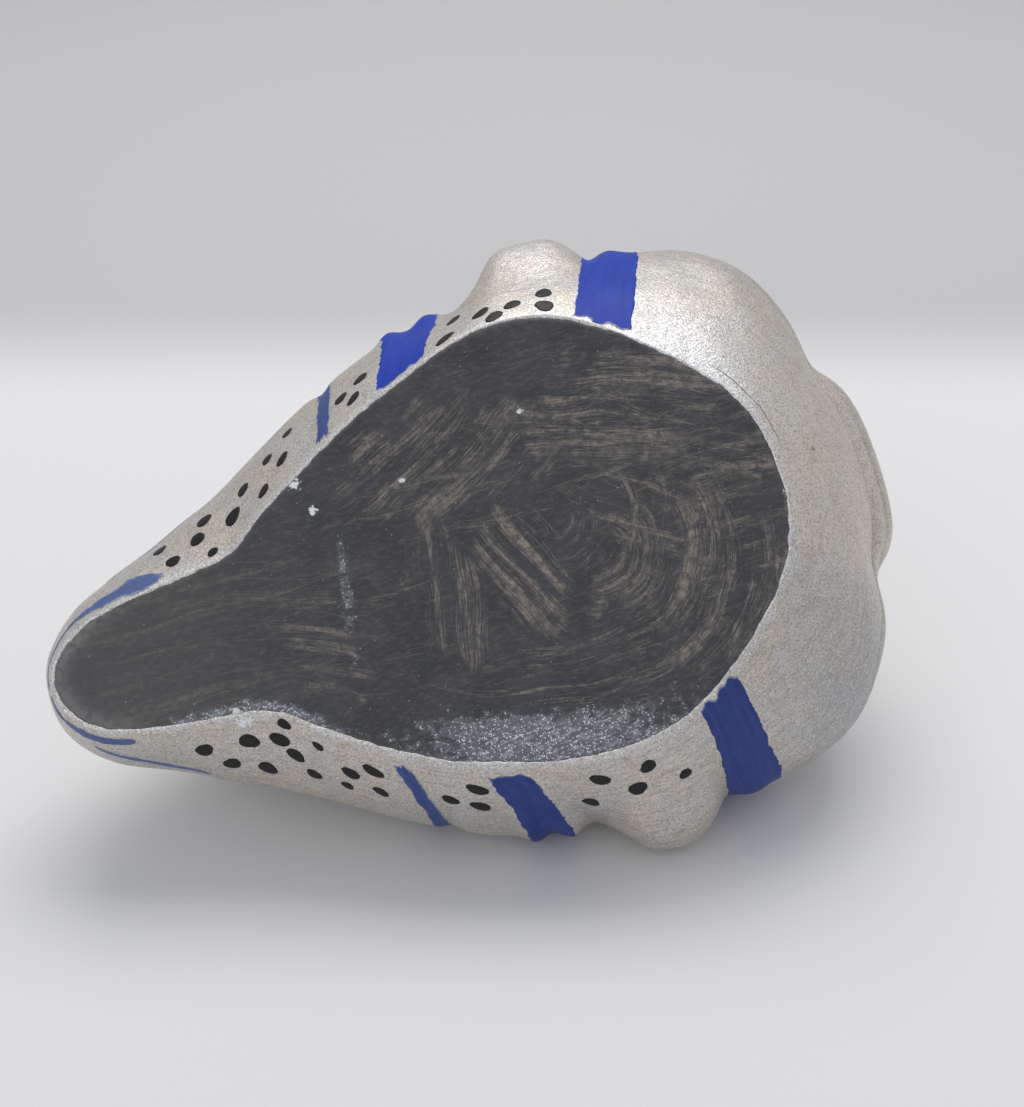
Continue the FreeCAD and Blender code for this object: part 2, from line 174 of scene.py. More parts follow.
def ease(value, low, high):
    """Smooth step: 0 below low, 1 above high, and 3t2 - 2t3 in between."""
    share = np.clip((value - low) / (high - low), 0.0, 1.0)
    return share * share * (3.0 - 2.0 * share)


def soft_waves(points, size, seed, count=22):
    """Smooth random unevenness near -1 to 1: the scaled sum of plane sine waves.

    Each wave has its own direction, its own length near size and its own phase.
    """
    dice = np.random.default_rng(seed)
    ways = dice.normal(size=(count, 3))
    ways /= np.linalg.norm(ways, axis=1)[:, None]
    lengths = size * dice.uniform(*WAVE_SPREAD, count)
    phases = dice.uniform(0.0, 2.0 * math.pi, count)
    angle = points @ (ways / lengths[:, None] * 2.0 * math.pi).T + phases
    return np.sin(angle).sum(axis=-1) / math.sqrt(count / 2.0) * WAVE_SCALE


def station_rows(place):
    """The station table at fractional stations.

    A Catmull-Rom curve runs through the rows: half of (2b + (c-a)t + (2a-5b+4c-d)t2
    + (3b-a-3c+d)t3), with the rows past each end mirrored across the middle plane.
    """
    rows = np.vstack([STATIONS[1:2] * ODD, STATIONS, STATIONS[-2:-1] * ODD])
    before = np.clip(np.floor(place).astype(int), 0, LAST - 1)
    part = (place - before)[..., None]
    a, b, c = rows[before], rows[before + 1], rows[before + 2]
    d = rows[np.minimum(before + 3, LAST + 2)]
    bend = 2 * a - 5 * b + 4 * c - d
    twist = 3 * b - a - 3 * c + d
    table = 0.5 * (2 * b + (c - a) * part + bend * part ** 2 + twist * part ** 3)
    return [table[..., column] for column in range(7)]


def relief_height(place, turn, side):
    """Sum of the carved bumps and grooves, faded out towards the edge of the back."""
    height = np.zeros_like(place)
    for at, reach, at_turn, turn_reach, rise in RELIEF + GROOVES:
        height += rise * bell(place - at, reach) * bell(turn - at_turn, turn_reach)
    for of_side, at, reach, at_turn, turn_reach, rise in ONE_SIDED:
        bump = rise * bell(place - at, reach) * bell(turn - at_turn, turn_reach)
        bump = bump * ease(2.0 - turn, 0.0, 0.6) * ease(LAST - place, 0.0, 0.8)
        height += np.where(side == of_side, bump, 0.0)
    for at, reach, at_turn, turn_reach, rise, steepness in LUMPS:
        bump = rise * steep_bell(place - at, reach, steepness)
        height += bump * bell(turn - at_turn, turn_reach)
    return height * ease(turn, 0.0, RIM_FADE)


def sway(place, turn, side):
    """How far the back and the flanks stray sideways from the middle plane.

    They stray less and less towards the front ridge, and the left cheek strays further.
    """
    astray = SWAY * (bell(place - 12.5, 2.5) - bell(place - 7.5, 2.6))
    astray = astray + LEFT_SWAY * bell(place - 12.9, 2.3) * (side > 0)
    ends = ease(place, 0.0, 1.5) * ease(LAST - place, 0.0, 1.5)
    return astray * (1.0 - turn / 2.0) * ends


def plain_skin(place, turn, side, lift):
    """The carving's skin before the knife's unevenness, as u, v, w on the last axis.

    On the flank, turn 0 to 1, the point goes from the back's edge to the widest line by
    the sine of the quarter angle, and sinks by a mix of its cosine and its sine. On the
    front, turn 1 to 2, it goes inward by a power of the cosine and down by a power of
    the sine. Relief and lift push it away from the front ridge line.
    """
    back_u, back_v, flank_u, flank_v, flank_w, front_u, front_w = station_rows(place)
    angle = np.clip(turn, 0.0, 1.0) * math.pi / 2
    out = np.sin(angle)
    flank = np.stack([
        back_u + (flank_u - back_u) * out,
        back_v + (flank_v - back_v) * out,
        -flank_w * ((1 - RISE_SHARE) * (1 - np.cos(angle)) + RISE_SHARE * out),
    ], axis=-1)
    angle = np.clip(turn - 1.0, 0.0, 1.0) * math.pi / 2
    power = 2 / (ROUND_END - ROUND_DROP * bell(place - ROUND_AT, ROUND_REACH))
    out = np.clip(np.cos(angle), 0.0, 1.0) ** power
    down = np.sin(angle) ** (1 + (power - 1) * SIDE_FULLNESS)
    front = np.stack([
        front_u + (flank_u - front_u) * out,
        flank_v * out,
        -flank_w - (front_w - flank_w) * down,
    ], axis=-1)
    skin = np.where((turn <= 1.0)[..., None], flank, front)
    reach = np.hypot(flank_u - front_u, flank_v) + 1e-9
    outward = np.sin(turn * math.pi / 2)
    height = relief_height(place, turn, side) + lift
    ends = ease(place, 0.0, 0.6) * ease(LAST - place, 0.0, 0.6)
    lean = side * LEAN_SHIFT * bell(place - LEAN_AT, LEAN_REACH) * outward * ends
    skin[..., 0] += height * (flank_u - front_u) / reach * outward + lean
    skin[..., 1] += height * flank_v / reach * outward
    skin[..., 2] += height * np.cos(turn * math.pi / 2)
    skin[..., 1] = side * np.abs(skin[..., 1]) + sway(place, turn, side)
    return skin


def unevenness(skin, place, turn):
    """Knife waves everywhere and fine wrinkles on the lumps, zero at the back's edge."""
    even = skin * np.array((1.0, 0.35, 1.0))
    waves = KNIFE_WAVES * soft_waves(even, KNIFE_SIZE, 11)
    lumps = bell(place - 12.6, 1.1) + 0.35 * bell(place - 16.5, 2.0)
    wrinkles = SKIN_WRINKLES * soft_waves(skin, WRINKLE_SIZE, 12, 40) * lumps
    return (waves + wrinkles) * ease(turn, 0.0, 0.25)


def carved_skin(place, turn, side, lift=0.0):
    """The finished skin: the plain skin lifted by its own unevenness and the given lift."""
    place, turn, side, lift = np.broadcast_arrays(place, turn, side, lift)
    place = place.astype(float)
    turn = turn.astype(float)
    bare = plain_skin(place, turn, side, np.zeros_like(place))
    return plain_skin(place, turn, side, lift + unevenness(bare, place, turn))


def back_outline(place, inset):
    """The edge of the back drawn in by inset, square to its own run, for v above zero."""
    step = 0.02
    here = np.stack(station_rows(place)[:2], axis=-1)
    ahead = np.stack(station_rows(np.minimum(place + step, LAST))[:2], axis=-1)
    behind = np.stack(station_rows(np.maximum(place - step, 0.0))[:2], axis=-1)
    run = ahead - behind
    run[place <= 0.0] = (0.0, 1.0)
    run[place >= LAST] = (0.0, -1.0)
    run /= np.linalg.norm(run, axis=-1)[..., None]
    inset = np.asarray(inset)
    return here + np.stack([run[..., 1] * inset, -run[..., 0] * inset], axis=-1)


def rim_point(place, side, inset, height):
    """A point of the back, inset from its edge, at the given height."""
    place, side, inset, height = np.broadcast_arrays(place, side, inset, height)
    flat = back_outline(place.astype(float), inset)
    across = side * np.abs(flat[..., 1]) + sway(place.astype(float), 0.0, side)
    return np.stack([flat[..., 0], across, height], axis=-1)


def board_edge(place, side):
    """How far the dark board stays inside the edge: its margin with a ragged hand."""
    flat = rim_point(place, side, 0.0, 0.0)
    ragged = 0.6 * soft_waves(flat, 5.0, 21) + 0.45 * soft_waves(flat, 1.4, 22)
    ragged = ragged + 0.30 * soft_waves(flat, 0.55, 23)
    return BOARD_MARGIN + BOARD_RAGGED * ragged


# ---------------------------------------------------------------- from axes to the floor
def lay_down(points, roll, lean):
    """Carving axes in millimetres to the frame in metres.

    Rolled by roll about w, leant so that w rises by lean above the level, and moved so
    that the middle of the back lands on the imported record's back mount.
    """
    cos_roll, sin_roll = math.cos(roll), math.sin(roll)
    cos_tip, sin_tip = math.cos(math.pi / 2 - lean), math.sin(math.pi / 2 - lean)
    rolled = np.array(((cos_roll, -sin_roll, 0), (sin_roll, cos_roll, 0), (0, 0, 1)))
    tipped = np.array(((1, 0, 0), (0, cos_tip, -sin_tip), (0, sin_tip, cos_tip)))
    turn = tipped @ rolled
    mount = np.array(frame["record"]["mounts"][0]["pos_m"])
    shift = mount - turn @ np.array(BACK_MIDDLE) * MM
    return points @ turn.T * MM + shift


def ring_faces(rows, columns, start=0):
    """Quads of a grid whose last column is joined to its first."""
    index = np.arange(rows * columns).reshape(rows, columns) + start
    index = np.concatenate([index, index[:, :1]], axis=1)
    corners = (index[:-1, :-1], index[1:, :-1], index[1:, 1:], index[:-1, 1:])
    return np.stack(corners, axis=-1).reshape(-1, 4)


def weld(points, faces, layers):
    """Joins points closer than half a micrometre and drops the faces that this closes."""
    cells = np.round(points / 1e-6).astype(np.int64)
    cells, first, renamed = np.unique(cells, axis=0, return_index=True, return_inverse=True)
    faces = renamed.reshape(-1)[faces]
    triangles = np.concatenate([faces[:, (0, 1, 2)], faces[:, (0, 2, 3)]])
    a, b, c = triangles.T
    triangles = triangles[(a != b) & (b != c) & (a != c)]
    return points[first], triangles, {name: values[first] for name, values in layers.items()}


def add_piece(name, points, faces, layers, material, nodes, lay):
    """One finished piece: laid down, welded, given its layers and material, with the CAD nodes
    it stands for hidden.
    """
    placed = lay_down(points.reshape(-1, 3), lay.roll, lay.lean)
    layers = dict(layers)
    layers["carved"] = points.reshape(-1, 3)
    placed, triangles, layers = weld(placed, faces, layers)
    edge_a = placed[triangles[:, 1]] - placed[triangles[:, 0]]
    edge_b = placed[triangles[:, 2]] - placed[triangles[:, 0]]
    volume = (placed[triangles[:, 0]] * np.cross(edge_a, edge_b)).sum()
    if volume < 0:
        triangles = triangles[:, ::-1]
    mesh = bpy.data.meshes.new(name)
    mesh.from_pydata(placed.tolist(), [], triangles.tolist())
    for layer, values in layers.items():
        values = np.asarray(values, dtype=float)
        kind = "FLOAT_VECTOR" if values.ndim == 2 else "FLOAT"
        attribute = mesh.attributes.new(layer, kind, "POINT")
        attribute.data.foreach_set("vector" if values.ndim == 2 else "value", values.ravel())
    mesh.polygons.foreach_set("use_smooth", [True] * len(mesh.polygons))
    mesh.materials.append(material)
    mesh.validate()
    piece = bpy.data.objects.new(name, mesh)
    bpy.context.scene.collection.objects.link(piece)
    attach(piece, "root")
    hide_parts(*nodes)
    return piece


# ---------------------------------------------------------------- shader helpers
def put(tree, kind, plugs=None, **settings):
    """Adds a node, sets its settings, and links or sets each plug."""
    node = tree.nodes.new(kind)
    for key, value in settings.items():
        setattr(node, key, value)
    for key, value in (plugs or {}).items():
        socket = node.inputs[key]
        if isinstance(value, bpy.types.NodeSocket):
            tree.links.new(value, socket)
        else:
            socket.default_value = value
    return node


def reckon(tree, operation, first, second=0.0):
    """One arithmetic step."""
    return put(tree, "ShaderNodeMath", {0: first, 1: second}, operation=operation).outputs[0]


def plus(tree, first, second):
    """The sum of two values."""
    return reckon(tree, "ADD", first, second)


def minus(tree, first, second):
    """The first value less the second."""
    return reckon(tree, "SUBTRACT", first, second)


def times(tree, first, second):
    """The product of two values."""
    return reckon(tree, "MULTIPLY", first, second)


def vector_step(tree, operation, first, second=None, scale=None, output="Vector"):
    """One arithmetic step on vectors."""
    given = {0: first, 1: second, "Scale": scale}
    plugs = {key: value for key, value in given.items() if value is not None}
    return put(tree, "ShaderNodeVectorMath", plugs, operation=operation).outputs[output]


def stretch(tree, vector, scales):
    """A vector times its own scale on each axis."""
    return vector_step(tree, "MULTIPLY", vector, scales)


def between(tree, value, low, high):
    """A smooth step: 0 where the value is low and 1 where it is high."""
    plugs = {"Value": value, "From Min": low, "From Max": high}
    node = put(tree, "ShaderNodeMapRange", plugs, interpolation_type="SMOOTHSTEP", clamp=True)
    return node.outputs["Result"]


def blend_colour(tree, share, under, over):
    """Two colours mixed by a share."""
    node = put(tree, "ShaderNodeMix", {0: share, 6: under, 7: over}, data_type="RGBA")
    return node.outputs[2]


def add_coats(tree, colour, coats):
    """Lays coats over a colour, in order; each is where it lies, its strength and colour."""
    for share, strength, over in coats:
        colour = blend_colour(tree, times(tree, share, strength), colour, (*over, 1))
    return colour


def noise(tree, vector, scale, detail=3.0, roughness=0.55):
    """Plain noise near 0 to 1."""
    plugs = {"Vector": vector, "Scale": scale, "Detail": detail, "Roughness": roughness}
    return put(tree, "ShaderNodeTexNoise", plugs).outputs["Fac"]


def layer(tree, name, output="Fac"):
    """One of the piece's own attributes."""
    return put(tree, "ShaderNodeAttribute", attribute_name=name).outputs[output]


def bumped(tree, height, strength, depth, normal=None):
    """A bump of the given depth in metres, over an earlier normal if there is one."""
    plugs = {"Height": height, "Strength": strength, "Distance": depth}
    if normal is not None:
        plugs["Normal"] = normal
    return put(tree, "ShaderNodeBump", plugs).outputs["Normal"]


def new_effect(name, inputs, outputs):
    """An empty shader node group, its input sockets and its output node.

    An input with a number is a float socket and any other a vector socket.
    """
    tree = bpy.data.node_groups.new(name, "ShaderNodeTree")
    for socket, value in inputs.items():
        kind = "NodeSocketFloat" if isinstance(value, float) else "NodeSocketVector"
        made = tree.interface.new_socket(socket, in_out="INPUT", socket_type=kind)
        if value is not None:
            made.default_value = value
    for socket in outputs:
        tree.interface.new_socket(socket, in_out="OUTPUT", socket_type="NodeSocketFloat")
    given = tree.nodes.new("NodeGroupInput").outputs[:len(inputs)]
    return tree, given, tree.nodes.new("NodeGroupOutput")


def make_brush_effect():
    """Bristle streaks that swing round a centre; a far centre makes them straight.

    The streaks are noise over the distance from the centre, taken finely, and the
    direction round it, taken coarsely, so each is a short arc. A slower noise of the same
    kind gathers them into bands, and a wandering offset keeps them from running true.
    """
    tree, given, result = new_effect(
        "bristle_arcs",
        {"Vector": None, "Centre": None, "Fineness": 3.0, "Run": 0.25, "Cover": 0.5},
        ["Streaks"])
    vector, centre, fineness, run, cover = given
    drift = put(tree, "ShaderNodeTexNoise", {"Vector": vector, "Scale": 0.11, "Detail": 1.0})
    drift = vector_step(tree, "SCALE", drift.outputs["Color"], scale=1.8)
    wandering = vector_step(tree, "ADD", vector, drift)
    offset = vector_step(tree, "SUBTRACT", wandering, centre)
    flat = stretch(tree, offset, (1.0, 1.0, 0.0))
    distance = vector_step(tree, "LENGTH", flat, output="Value")
    way = vector_step(tree, "NORMALIZE", flat)
    along = vector_step(tree, "SCALE", way, scale=times(tree, distance, run))
    across = put(tree, "ShaderNodeCombineXYZ", {"Z": times(tree, distance, fineness)})
    spot = vector_step(tree, "ADD", along, across.outputs[0])
    fine = noise(tree, spot, 1.0, 4.0, 0.72)
    bands = noise(tree, spot, 0.13, 1.0, 0.5)
    mixed = plus(tree, times(tree, fine, 0.6), times(tree, bands, 0.4))
    low = minus(tree, 0.645, times(tree, cover, 0.28))
    streaks = between(tree, mixed, low, plus(tree, low, 0.11))
    tree.links.new(streaks, result.inputs["Streaks"])


def make_glitter_effect():
    """Scattered bright flakes: small cells, of which a share, by its own dice, is lit."""
    tree, given, result = new_effect(
        "paint_glitter", {"Vector": None, "Fineness": 5.0, "Share": 0.2}, ["Flakes", "Dice"])
    vector, fineness, share = given
    cells = put(tree, "ShaderNodeTexVoronoi", {"Vector": vector, "Scale": fineness})
    dice = put(tree, "ShaderNodeSeparateColor", {0: cells.outputs["Color"]}).outputs[0]
    lit = reckon(tree, "GREATER_THAN", dice, minus(tree, 1.0, share))
    round_flake = between(tree, cells.outputs["Distance"], 0.55, 0.30)
    tree.links.new(times(tree, lit, round_flake), result.inputs["Flakes"])
    tree.links.new(dice, result.inputs["Dice"])


def make_patch_effect():
    """A soft-edged round patch with an uneven border, to place dust, chips and stains."""
    tree, given, result = new_effect(
        "uneven_patch",
        {"Vector": None, "Centre": None, "Reach": (1.0, 1.0, 1.0), "Unevenness": 0.5,
         "Fineness": 1.0},
        ["Patch"])
    vector, centre, reach, unevenness, fineness = given
    offset = vector_step(tree, "SUBTRACT", vector, centre)
    scaled = vector_step(tree, "DIVIDE", offset, reach)
    distance = vector_step(tree, "LENGTH", scaled, output="Value")
    wander = times(tree, minus(tree, noise(tree, vector, fineness), 0.5), unevenness)
    spread = between(tree, plus(tree, distance, wander), 1.0, 0.55)
    tree.links.new(spread, result.inputs["Patch"])


def make_effects():
    """The shared effects, made the first time a material needs them."""
    if "bristle_arcs" not in bpy.data.node_groups:
        make_brush_effect()
        make_glitter_effect()
        make_patch_effect()


def effect(tree, name, plugs):
    """Places a shared effect in a material and gives its outputs."""
    return put(tree, "ShaderNodeGroup", plugs, node_tree=bpy.data.node_groups[name]).outputs


def glitter(tree, vector, fineness, share):
    """Where the flakes of a glitter lie, and their dice."""
    plugs = {"Vector": vector, "Fineness": fineness, "Share": share}
    return effect(tree, "paint_glitter", plugs)[:2]


def patch(tree, vector, centre, reach, unevenness, fineness):
    """Where one uneven patch lies."""
    plugs = {"Vector": vector, "Centre": centre, "Reach": reach, "Unevenness": unevenness,
             "Fineness": fineness}
    return effect(tree, "uneven_patch", plugs)["Patch"]


def new_material(name):
    """A material with one Principled shader; gives its tree and the shader."""
    material = bpy.data.materials.new(name)
    material.use_nodes = True
    tree = material.node_tree
    tree.nodes.clear()
    end = tree.nodes.new("ShaderNodeOutputMaterial")
    shader = tree.nodes.new("ShaderNodeBsdfPrincipled")
    tree.links.new(shader.outputs[0], end.inputs["Surface"])
    return tree, shader


def finish_shader(tree, shader, colour, roughness, normal, **fixed):
    """Links what changes over the surface, and sets what is the same all over."""
    for name, value in (("Base Color", colour), ("Roughness", roughness), ("Normal", normal)):
        tree.links.new(value, shader.inputs[name])
    for name, value in fixed.items():
        shader.inputs[name.replace("_", " ")].default_value = value


# ---------------------------------------------------------------- materials
def silver_material(colours):
    """Champagne silver metal paint, brushed along the flank over carved wood."""
    tree, shader = new_material("champagne_silver")
    carved = layer(tree, "carved", "Vector")
    wrap = layer(tree, "wrap", "Vector")
    painted_highlight = layer(tree, "painted_highlight")
    run, round_body = put(tree, "ShaderNodeSeparateXYZ", {0: wrap}).outputs[:2]
    grain = noise(tree, stretch(tree, wrap, (0.26, 2.2, 1.0)), 1.0, 4.0, 0.6)
    fine_grain = noise(tree, stretch(tree, wrap, (0.8, 8.0, 1.0)), 1.0, 3.0, 0.6)
    clouds = noise(tree, carved, 0.19, 4.0, 0.62)
    speckle = noise(tree, carved, 5.2, 2.0, 0.6)
    mottle = noise(tree, carved, 0.8, 4.0, 0.7)
    flakes, dice = glitter(tree, carved, 5.0, 0.25)
    # painted glints: a share of the flakes, lit more where the painted highlight lies
    painted_glints = times(tree, flakes, plus(tree, 0.42, times(tree, painted_highlight, 0.58)))
    blotches = between(tree, noise(tree, carved, 3.0), 0.25, 0.65)
    # a hairline crack runs just outside the edge of the back, over the forehead
    wander = plus(tree, 0.75, times(tree, noise(tree, carved, 0.5, 4.0), 0.9))
    crack = reckon(tree, "ABSOLUTE", minus(tree, round_body, wander))
    crack = times(tree, between(tree, crack, 0.10, 0.02), layer(tree, "crack"))
    pit = patch(tree, carved, (76.3, 1.6, -8.0), (0.5, 0.5, 6.0), 0.6, 4.0)
    chip = patch(tree, carved, (17.0, -7.9, -0.4), (0.8, 0.5, 3.0), 3.0, 2.2)
    # the forehead crest turns warmer and lighter: a warm tint with painted light
    crest = between(tree, run, 17.0 * STATION_MM, 19.0 * STATION_MM)
    colour = blend_colour(tree, between(tree, clouds, 0.38, 0.62),
                          (*colours.silver_cool, 1), (*colours.silver_warm, 1))
    colour = add_coats(tree, colour, [
        (between(tree, grain, 0.44, 0.68), 0.36, (0.30, 0.27, 0.24)),       # brushed grain
        (between(tree, fine_grain, 0.50, 0.72), 0.22, (0.72, 0.68, 0.63)),  # its bright hairs
        (crest, 0.50, (0.86, 0.775, 0.68)),                                 # warmer and lighter crest: a warm tint with painted light
        (layer(tree, "shade"), 0.50, (0.30, 0.32, 0.38)),                   # painted bluish shade on the right flank
        # darker in the grooves and along the back's edge, in blotches
        (times(tree, layer(tree, "groove_darkening"), blotches), 0.60, (0.13, 0.115, 0.10)),
        (painted_highlight, 0.60, (0.80, 0.80, 0.83)),                                 # painted highlight beside the rim and on the left cheek lump
        (between(tree, mottle, 0.42, 0.64), 0.24, (0.36, 0.31, 0.27)),      # brown mottle
        (between(tree, speckle, 0.52, 0.34), 0.62, (0.24, 0.215, 0.195)),   # dark speckle
        (painted_glints, 1.0, (0.93, 0.92, 0.91)),                                  # painted glints of the flakes, stronger in the painted highlight
        (crack, 0.80, (0.10, 0.09, 0.085)),
        (pit, 1.0, (0.06, 0.065, 0.08)),
        (chip, 1.0, (0.82, 0.83, 0.84)),
    ])
    rough = plus(tree, 0.41, times(tree, minus(tree, grain, dice), 0.16))
    normal = bumped(tree, noise(tree, carved, 4.2, 2.0, 0.6), 0.75, 0.00009)
    normal = bumped(tree, fine_grain, 0.4, 0.00005, normal)
    normal = bumped(tree, minus(tree, dice, crack), 0.35, 0.00004, normal)
    finish_shader(tree, shader, colour, rough, normal, Metallic=0.55)


BRUSH_STROKES = [
    # centre of the arcs, fineness, run, cover, strength, middle and reach of the patch
    ((54.0, -1.5), 7.5, 0.42, 0.62, 1.0, (61.0, -6.5), (10.5, 10.5)),
    ((51.0, 3.0), 9.0, 0.60, 0.46, 0.9, (57.0, -2.0), (9.0, 8.0)),
    ((36.0, -70.0), 7.5, 0.36, 0.60, 0.9, (59.0, 10.5), (13.0, 7.0)),
    ((92.0, 20.0), 7.0, 0.26, 0.62, 1.0, (46.0, -1.5), (5.0, 8.0)),
    ((-4.0, 6.0), 7.0, 0.26, 0.60, 1.0, (38.5, -2.5), (4.0, 9.0)),
    ((0.0, 82.0), 7.2, 0.26, 0.58, 0.9, (42.0, 10.0), (12.0, 7.0)),
    ((50.0, 12.0), 7.4, 0.30, 0.46, 0.9, (46.0, -14.0), (17.0, 6.0)),
    ((20.0, 300.0), 9.0, 0.16, 0.48, 0.35, (17.0, 0.0), (20.0, 9.0)),
    ((8.0, -60.0), 9.0, 0.22, 0.46, 0.35, (22.0, 0.0), (12.0, 9.0)),
    ((10.0, -40.0), 8.0, 0.34, 0.50, 0.7, (26.0, -3.0), (5.0, 7.0)),
    ((64.0, -70.0), 7.5, 0.32, 0.44, 0.9, (66.0, 2.0), (7.0, 14.0)),
    ((100.0, 60.0), 8.0, 0.36, 0.44, 0.9, (62.0, 4.0), (11.0, 12.0)),
    ((52.0, 160.0), 7.5, 0.30, 0.36, 0.7, (50.0, 0.0), (26.0, 21.0)),
]
WHITE_CHIPS = [
    # middle and reach
    ((27.6, 12.1), 0.60), ((28.6, 9.3), 0.40), ((37.4, 9.6), 0.28), ((50.0, 12.7), 0.30),
    ((16.6, -6.8), 0.55),
]
PATCH_DEPTH = 40.0      # a patch of strokes, and a chip, reach through the board's top
CHIP_DEPTH = 9.0


def charcoal_material(colours):
    """Charcoal paint on the flat back, dry-brushed so that tan wood shows in arcs."""
    tree, shader = new_material("charcoal_wash")
    carved = layer(tree, "carved", "Vector")
    dust = layer(tree, "dust")
    clouds = between(tree, noise(tree, carved, 0.22, 4.0, 0.6), 0.35, 0.68)
    narrow_end = put(tree, "ShaderNodeSeparateXYZ", {0: carved}).outputs[0]
    narrow_end = between(tree, narrow_end, 30.0, 8.0)
    # tan wood between the bristles, broken up
    shown = 0.0
    for centre, fineness, run, cover, strength, spot, reach in BRUSH_STROKES:
        arcs = effect(tree, "bristle_arcs", {"Vector": carved, "Centre": (*centre, 0.0),
                                             "Fineness": fineness, "Run": run, "Cover": cover})
        where = patch(tree, carved, (*spot, 0.0), (*reach, PATCH_DEPTH), 1.6, 0.30)
        stroke = times(tree, times(tree, arcs["Streaks"], where), strength)
        shown = reckon(tree, "MAXIMUM", shown, stroke)
    broken = between(tree, noise(tree, carved, 1.3, 6.0, 0.8), 0.40, 0.58)
    shown = times(tree, shown, plus(tree, 0.22, times(tree, broken, 0.78)))
    haze = noise(tree, stretch(tree, carved, (1.0, 2.2, 1.0)), 1.1, 5.0, 0.75)
    scuffs = between(tree, noise(tree, carved, 2.2, 5.0, 0.8), 0.60, 0.74)
    scuffs = times(tree, scuffs, between(tree, noise(tree, carved, 0.30), 0.42, 0.62))
    # glitter gathers where dust lies, and a few flakes stray; their sparkle is painted as
    # glints
    flakes, dice = glitter(tree, carved, 5.6, 0.42)
    stray = glitter(tree, carved, 6.0, 0.003)[0]
    clumps = times(tree, minus(tree, noise(tree, carved, 0.9, 5.0, 0.75), 0.5), 2.2)
    gathered = between(tree, plus(tree, dust, clumps), 0.42, 0.80)
    spark = plus(tree, 0.12, times(tree, reckon(tree, "POWER", dice, 2.0), 0.88))
    glint = times(tree, times(tree, flakes, gathered), spark)
    glint = reckon(tree, "MAXIMUM", glint, times(tree, stray, 0.22))
    smear = noise(tree, stretch(tree, carved, (0.5, 2.0, 1.0)), 1.3, 5.0, 0.75)
    smear = times(tree, between(tree, smear, 0.48, 0.64), between(tree, dust, 0.35, 0.95))
    worn = between(tree, noise(tree, carved, 1.3, 3.0, 0.6), 0.20, 0.55)
    coats = [
        (narrow_end, 0.80, (0.082, 0.081, 0.085)),                          # greyer chin end
        (shown, 0.92, tuple(colours.bare_wood)),
        (between(tree, haze, 0.46, 0.70), 0.38, (0.16, 0.155, 0.155)),
        (scuffs, 0.55, (0.20, 0.19, 0.18)),
        (gathered, 0.30, (0.30, 0.33, 0.37)),                               # bed of the glitter
        (smear, 0.42, (0.55, 0.60, 0.66)),
        # painted glints of the glitter flakes
        (glint, 0.95, (0.88, 0.94, 0.98)),
        (times(tree, layer(tree, "rim"), worn), 0.75, (0.20, 0.197, 0.20)),
    ]
    for middle, reach in WHITE_CHIPS:
        chip = patch(tree, carved, (*middle, 0.0), (reach, reach, CHIP_DEPTH), 3.4, 2.4)
        coats.append((chip, 1.0, (0.78, 0.79, 0.80)))
    colour = blend_colour(tree, clouds, (*colours.charcoal, 1), (0.058, 0.059, 0.068, 1))
    colour = add_coats(tree, colour, coats)
    rough = plus(tree, 0.50, times(tree, shown, 0.2))
    rough = minus(tree, rough, times(tree, glint, 0.25))
    ridges = noise(tree, stretch(tree, carved, (1.0, 2.4, 1.0)), 1.5, 4.0, 0.65)
    normal = bumped(tree, plus(tree, times(tree, shown, -0.5), ridges), 0.55, 0.00012)
    normal = bumped(tree, glint, 0.4, 0.00006, normal)
    finish_shader(tree, shader, colour, rough, normal, Specular_IOR_Level=0.35)


def blue_material(name, full, thin):
    """Cobalt brush paint that thins to the silver along its bristle marks."""
    tree, shader = new_material(name)
    stroke = layer(tree, "stroke", "Vector")
    carved = layer(tree, "carved", "Vector")
    bristles = noise(tree, stretch(tree, stroke, (0.16, 2.0, 1.0)), 1.0, 3.0, 0.6)
    mottle = noise(tree, carved, 0.9, 3.0, 0.6)
    blobs = noise(tree, carved, 1.6, 3.0, 0.6)
    depth = plus(tree, times(tree, bristles, 0.7), times(tree, mottle, 0.3))
    light = tuple(channel * 1.25 + 0.006 for channel in full)
    colour = blend_colour(tree, between(tree, depth, 0.38, 0.68), (*full, 1), (*light, 1))
    bare = plus(tree, times(tree, bristles, 0.35), times(tree, blobs, 0.55))
    bare = between(tree, plus(tree, bare, layer(tree, "cover")), 0.80, 0.48)
    colour = blend_colour(tree, bare, colour, (*thin, 1))
    rough = plus(tree, 0.36, times(tree, mottle, 0.25))
    normal = bumped(tree, bristles, 0.5, 0.00005)
    normal = bumped(tree, noise(tree, carved, 3.0, 2.0), 0.3, 0.00004, normal)
    finish_shader(tree, shader, colour, rough, normal, Specular_IOR_Level=0.22,
                  Coat_Weight=0.04, Coat_Roughness=0.2)


def black_material(colours):
    """Glossy black dabs with a little brushed unevenness."""
    tree, shader = new_material("gloss_black_dabs")
    mottle = noise(tree, layer(tree, "carved", "Vector"), 1.6, 3.0, 0.6)
    colour = blend_colour(tree, between(tree, mottle, 0.4, 0.75), (*colours.black, 1),
                          (0.012, 0.012, 0.014, 1))
    rough = plus(tree, 0.24, times(tree, mottle, 0.3))
    finish_shader(tree, shader, colour, rough, bumped(tree, mottle, 0.3, 0.00006),
                  Specular_IOR_Level=0.3)


def material_of(name, maker, *given):
    """A material by its name, made the first time it is asked for."""
    if name not in bpy.data.materials:
        maker(*given)
    return bpy.data.materials[name]


# ---------------------------------------------------------------- pieces
def row_places(count):
    """Stations of the rows, packed closer towards both ends where the outline turns fast."""
    share = np.linspace(0.0, 1.0, count)
    return LAST * (share - END_PACKING * np.sin(2 * math.pi * share))


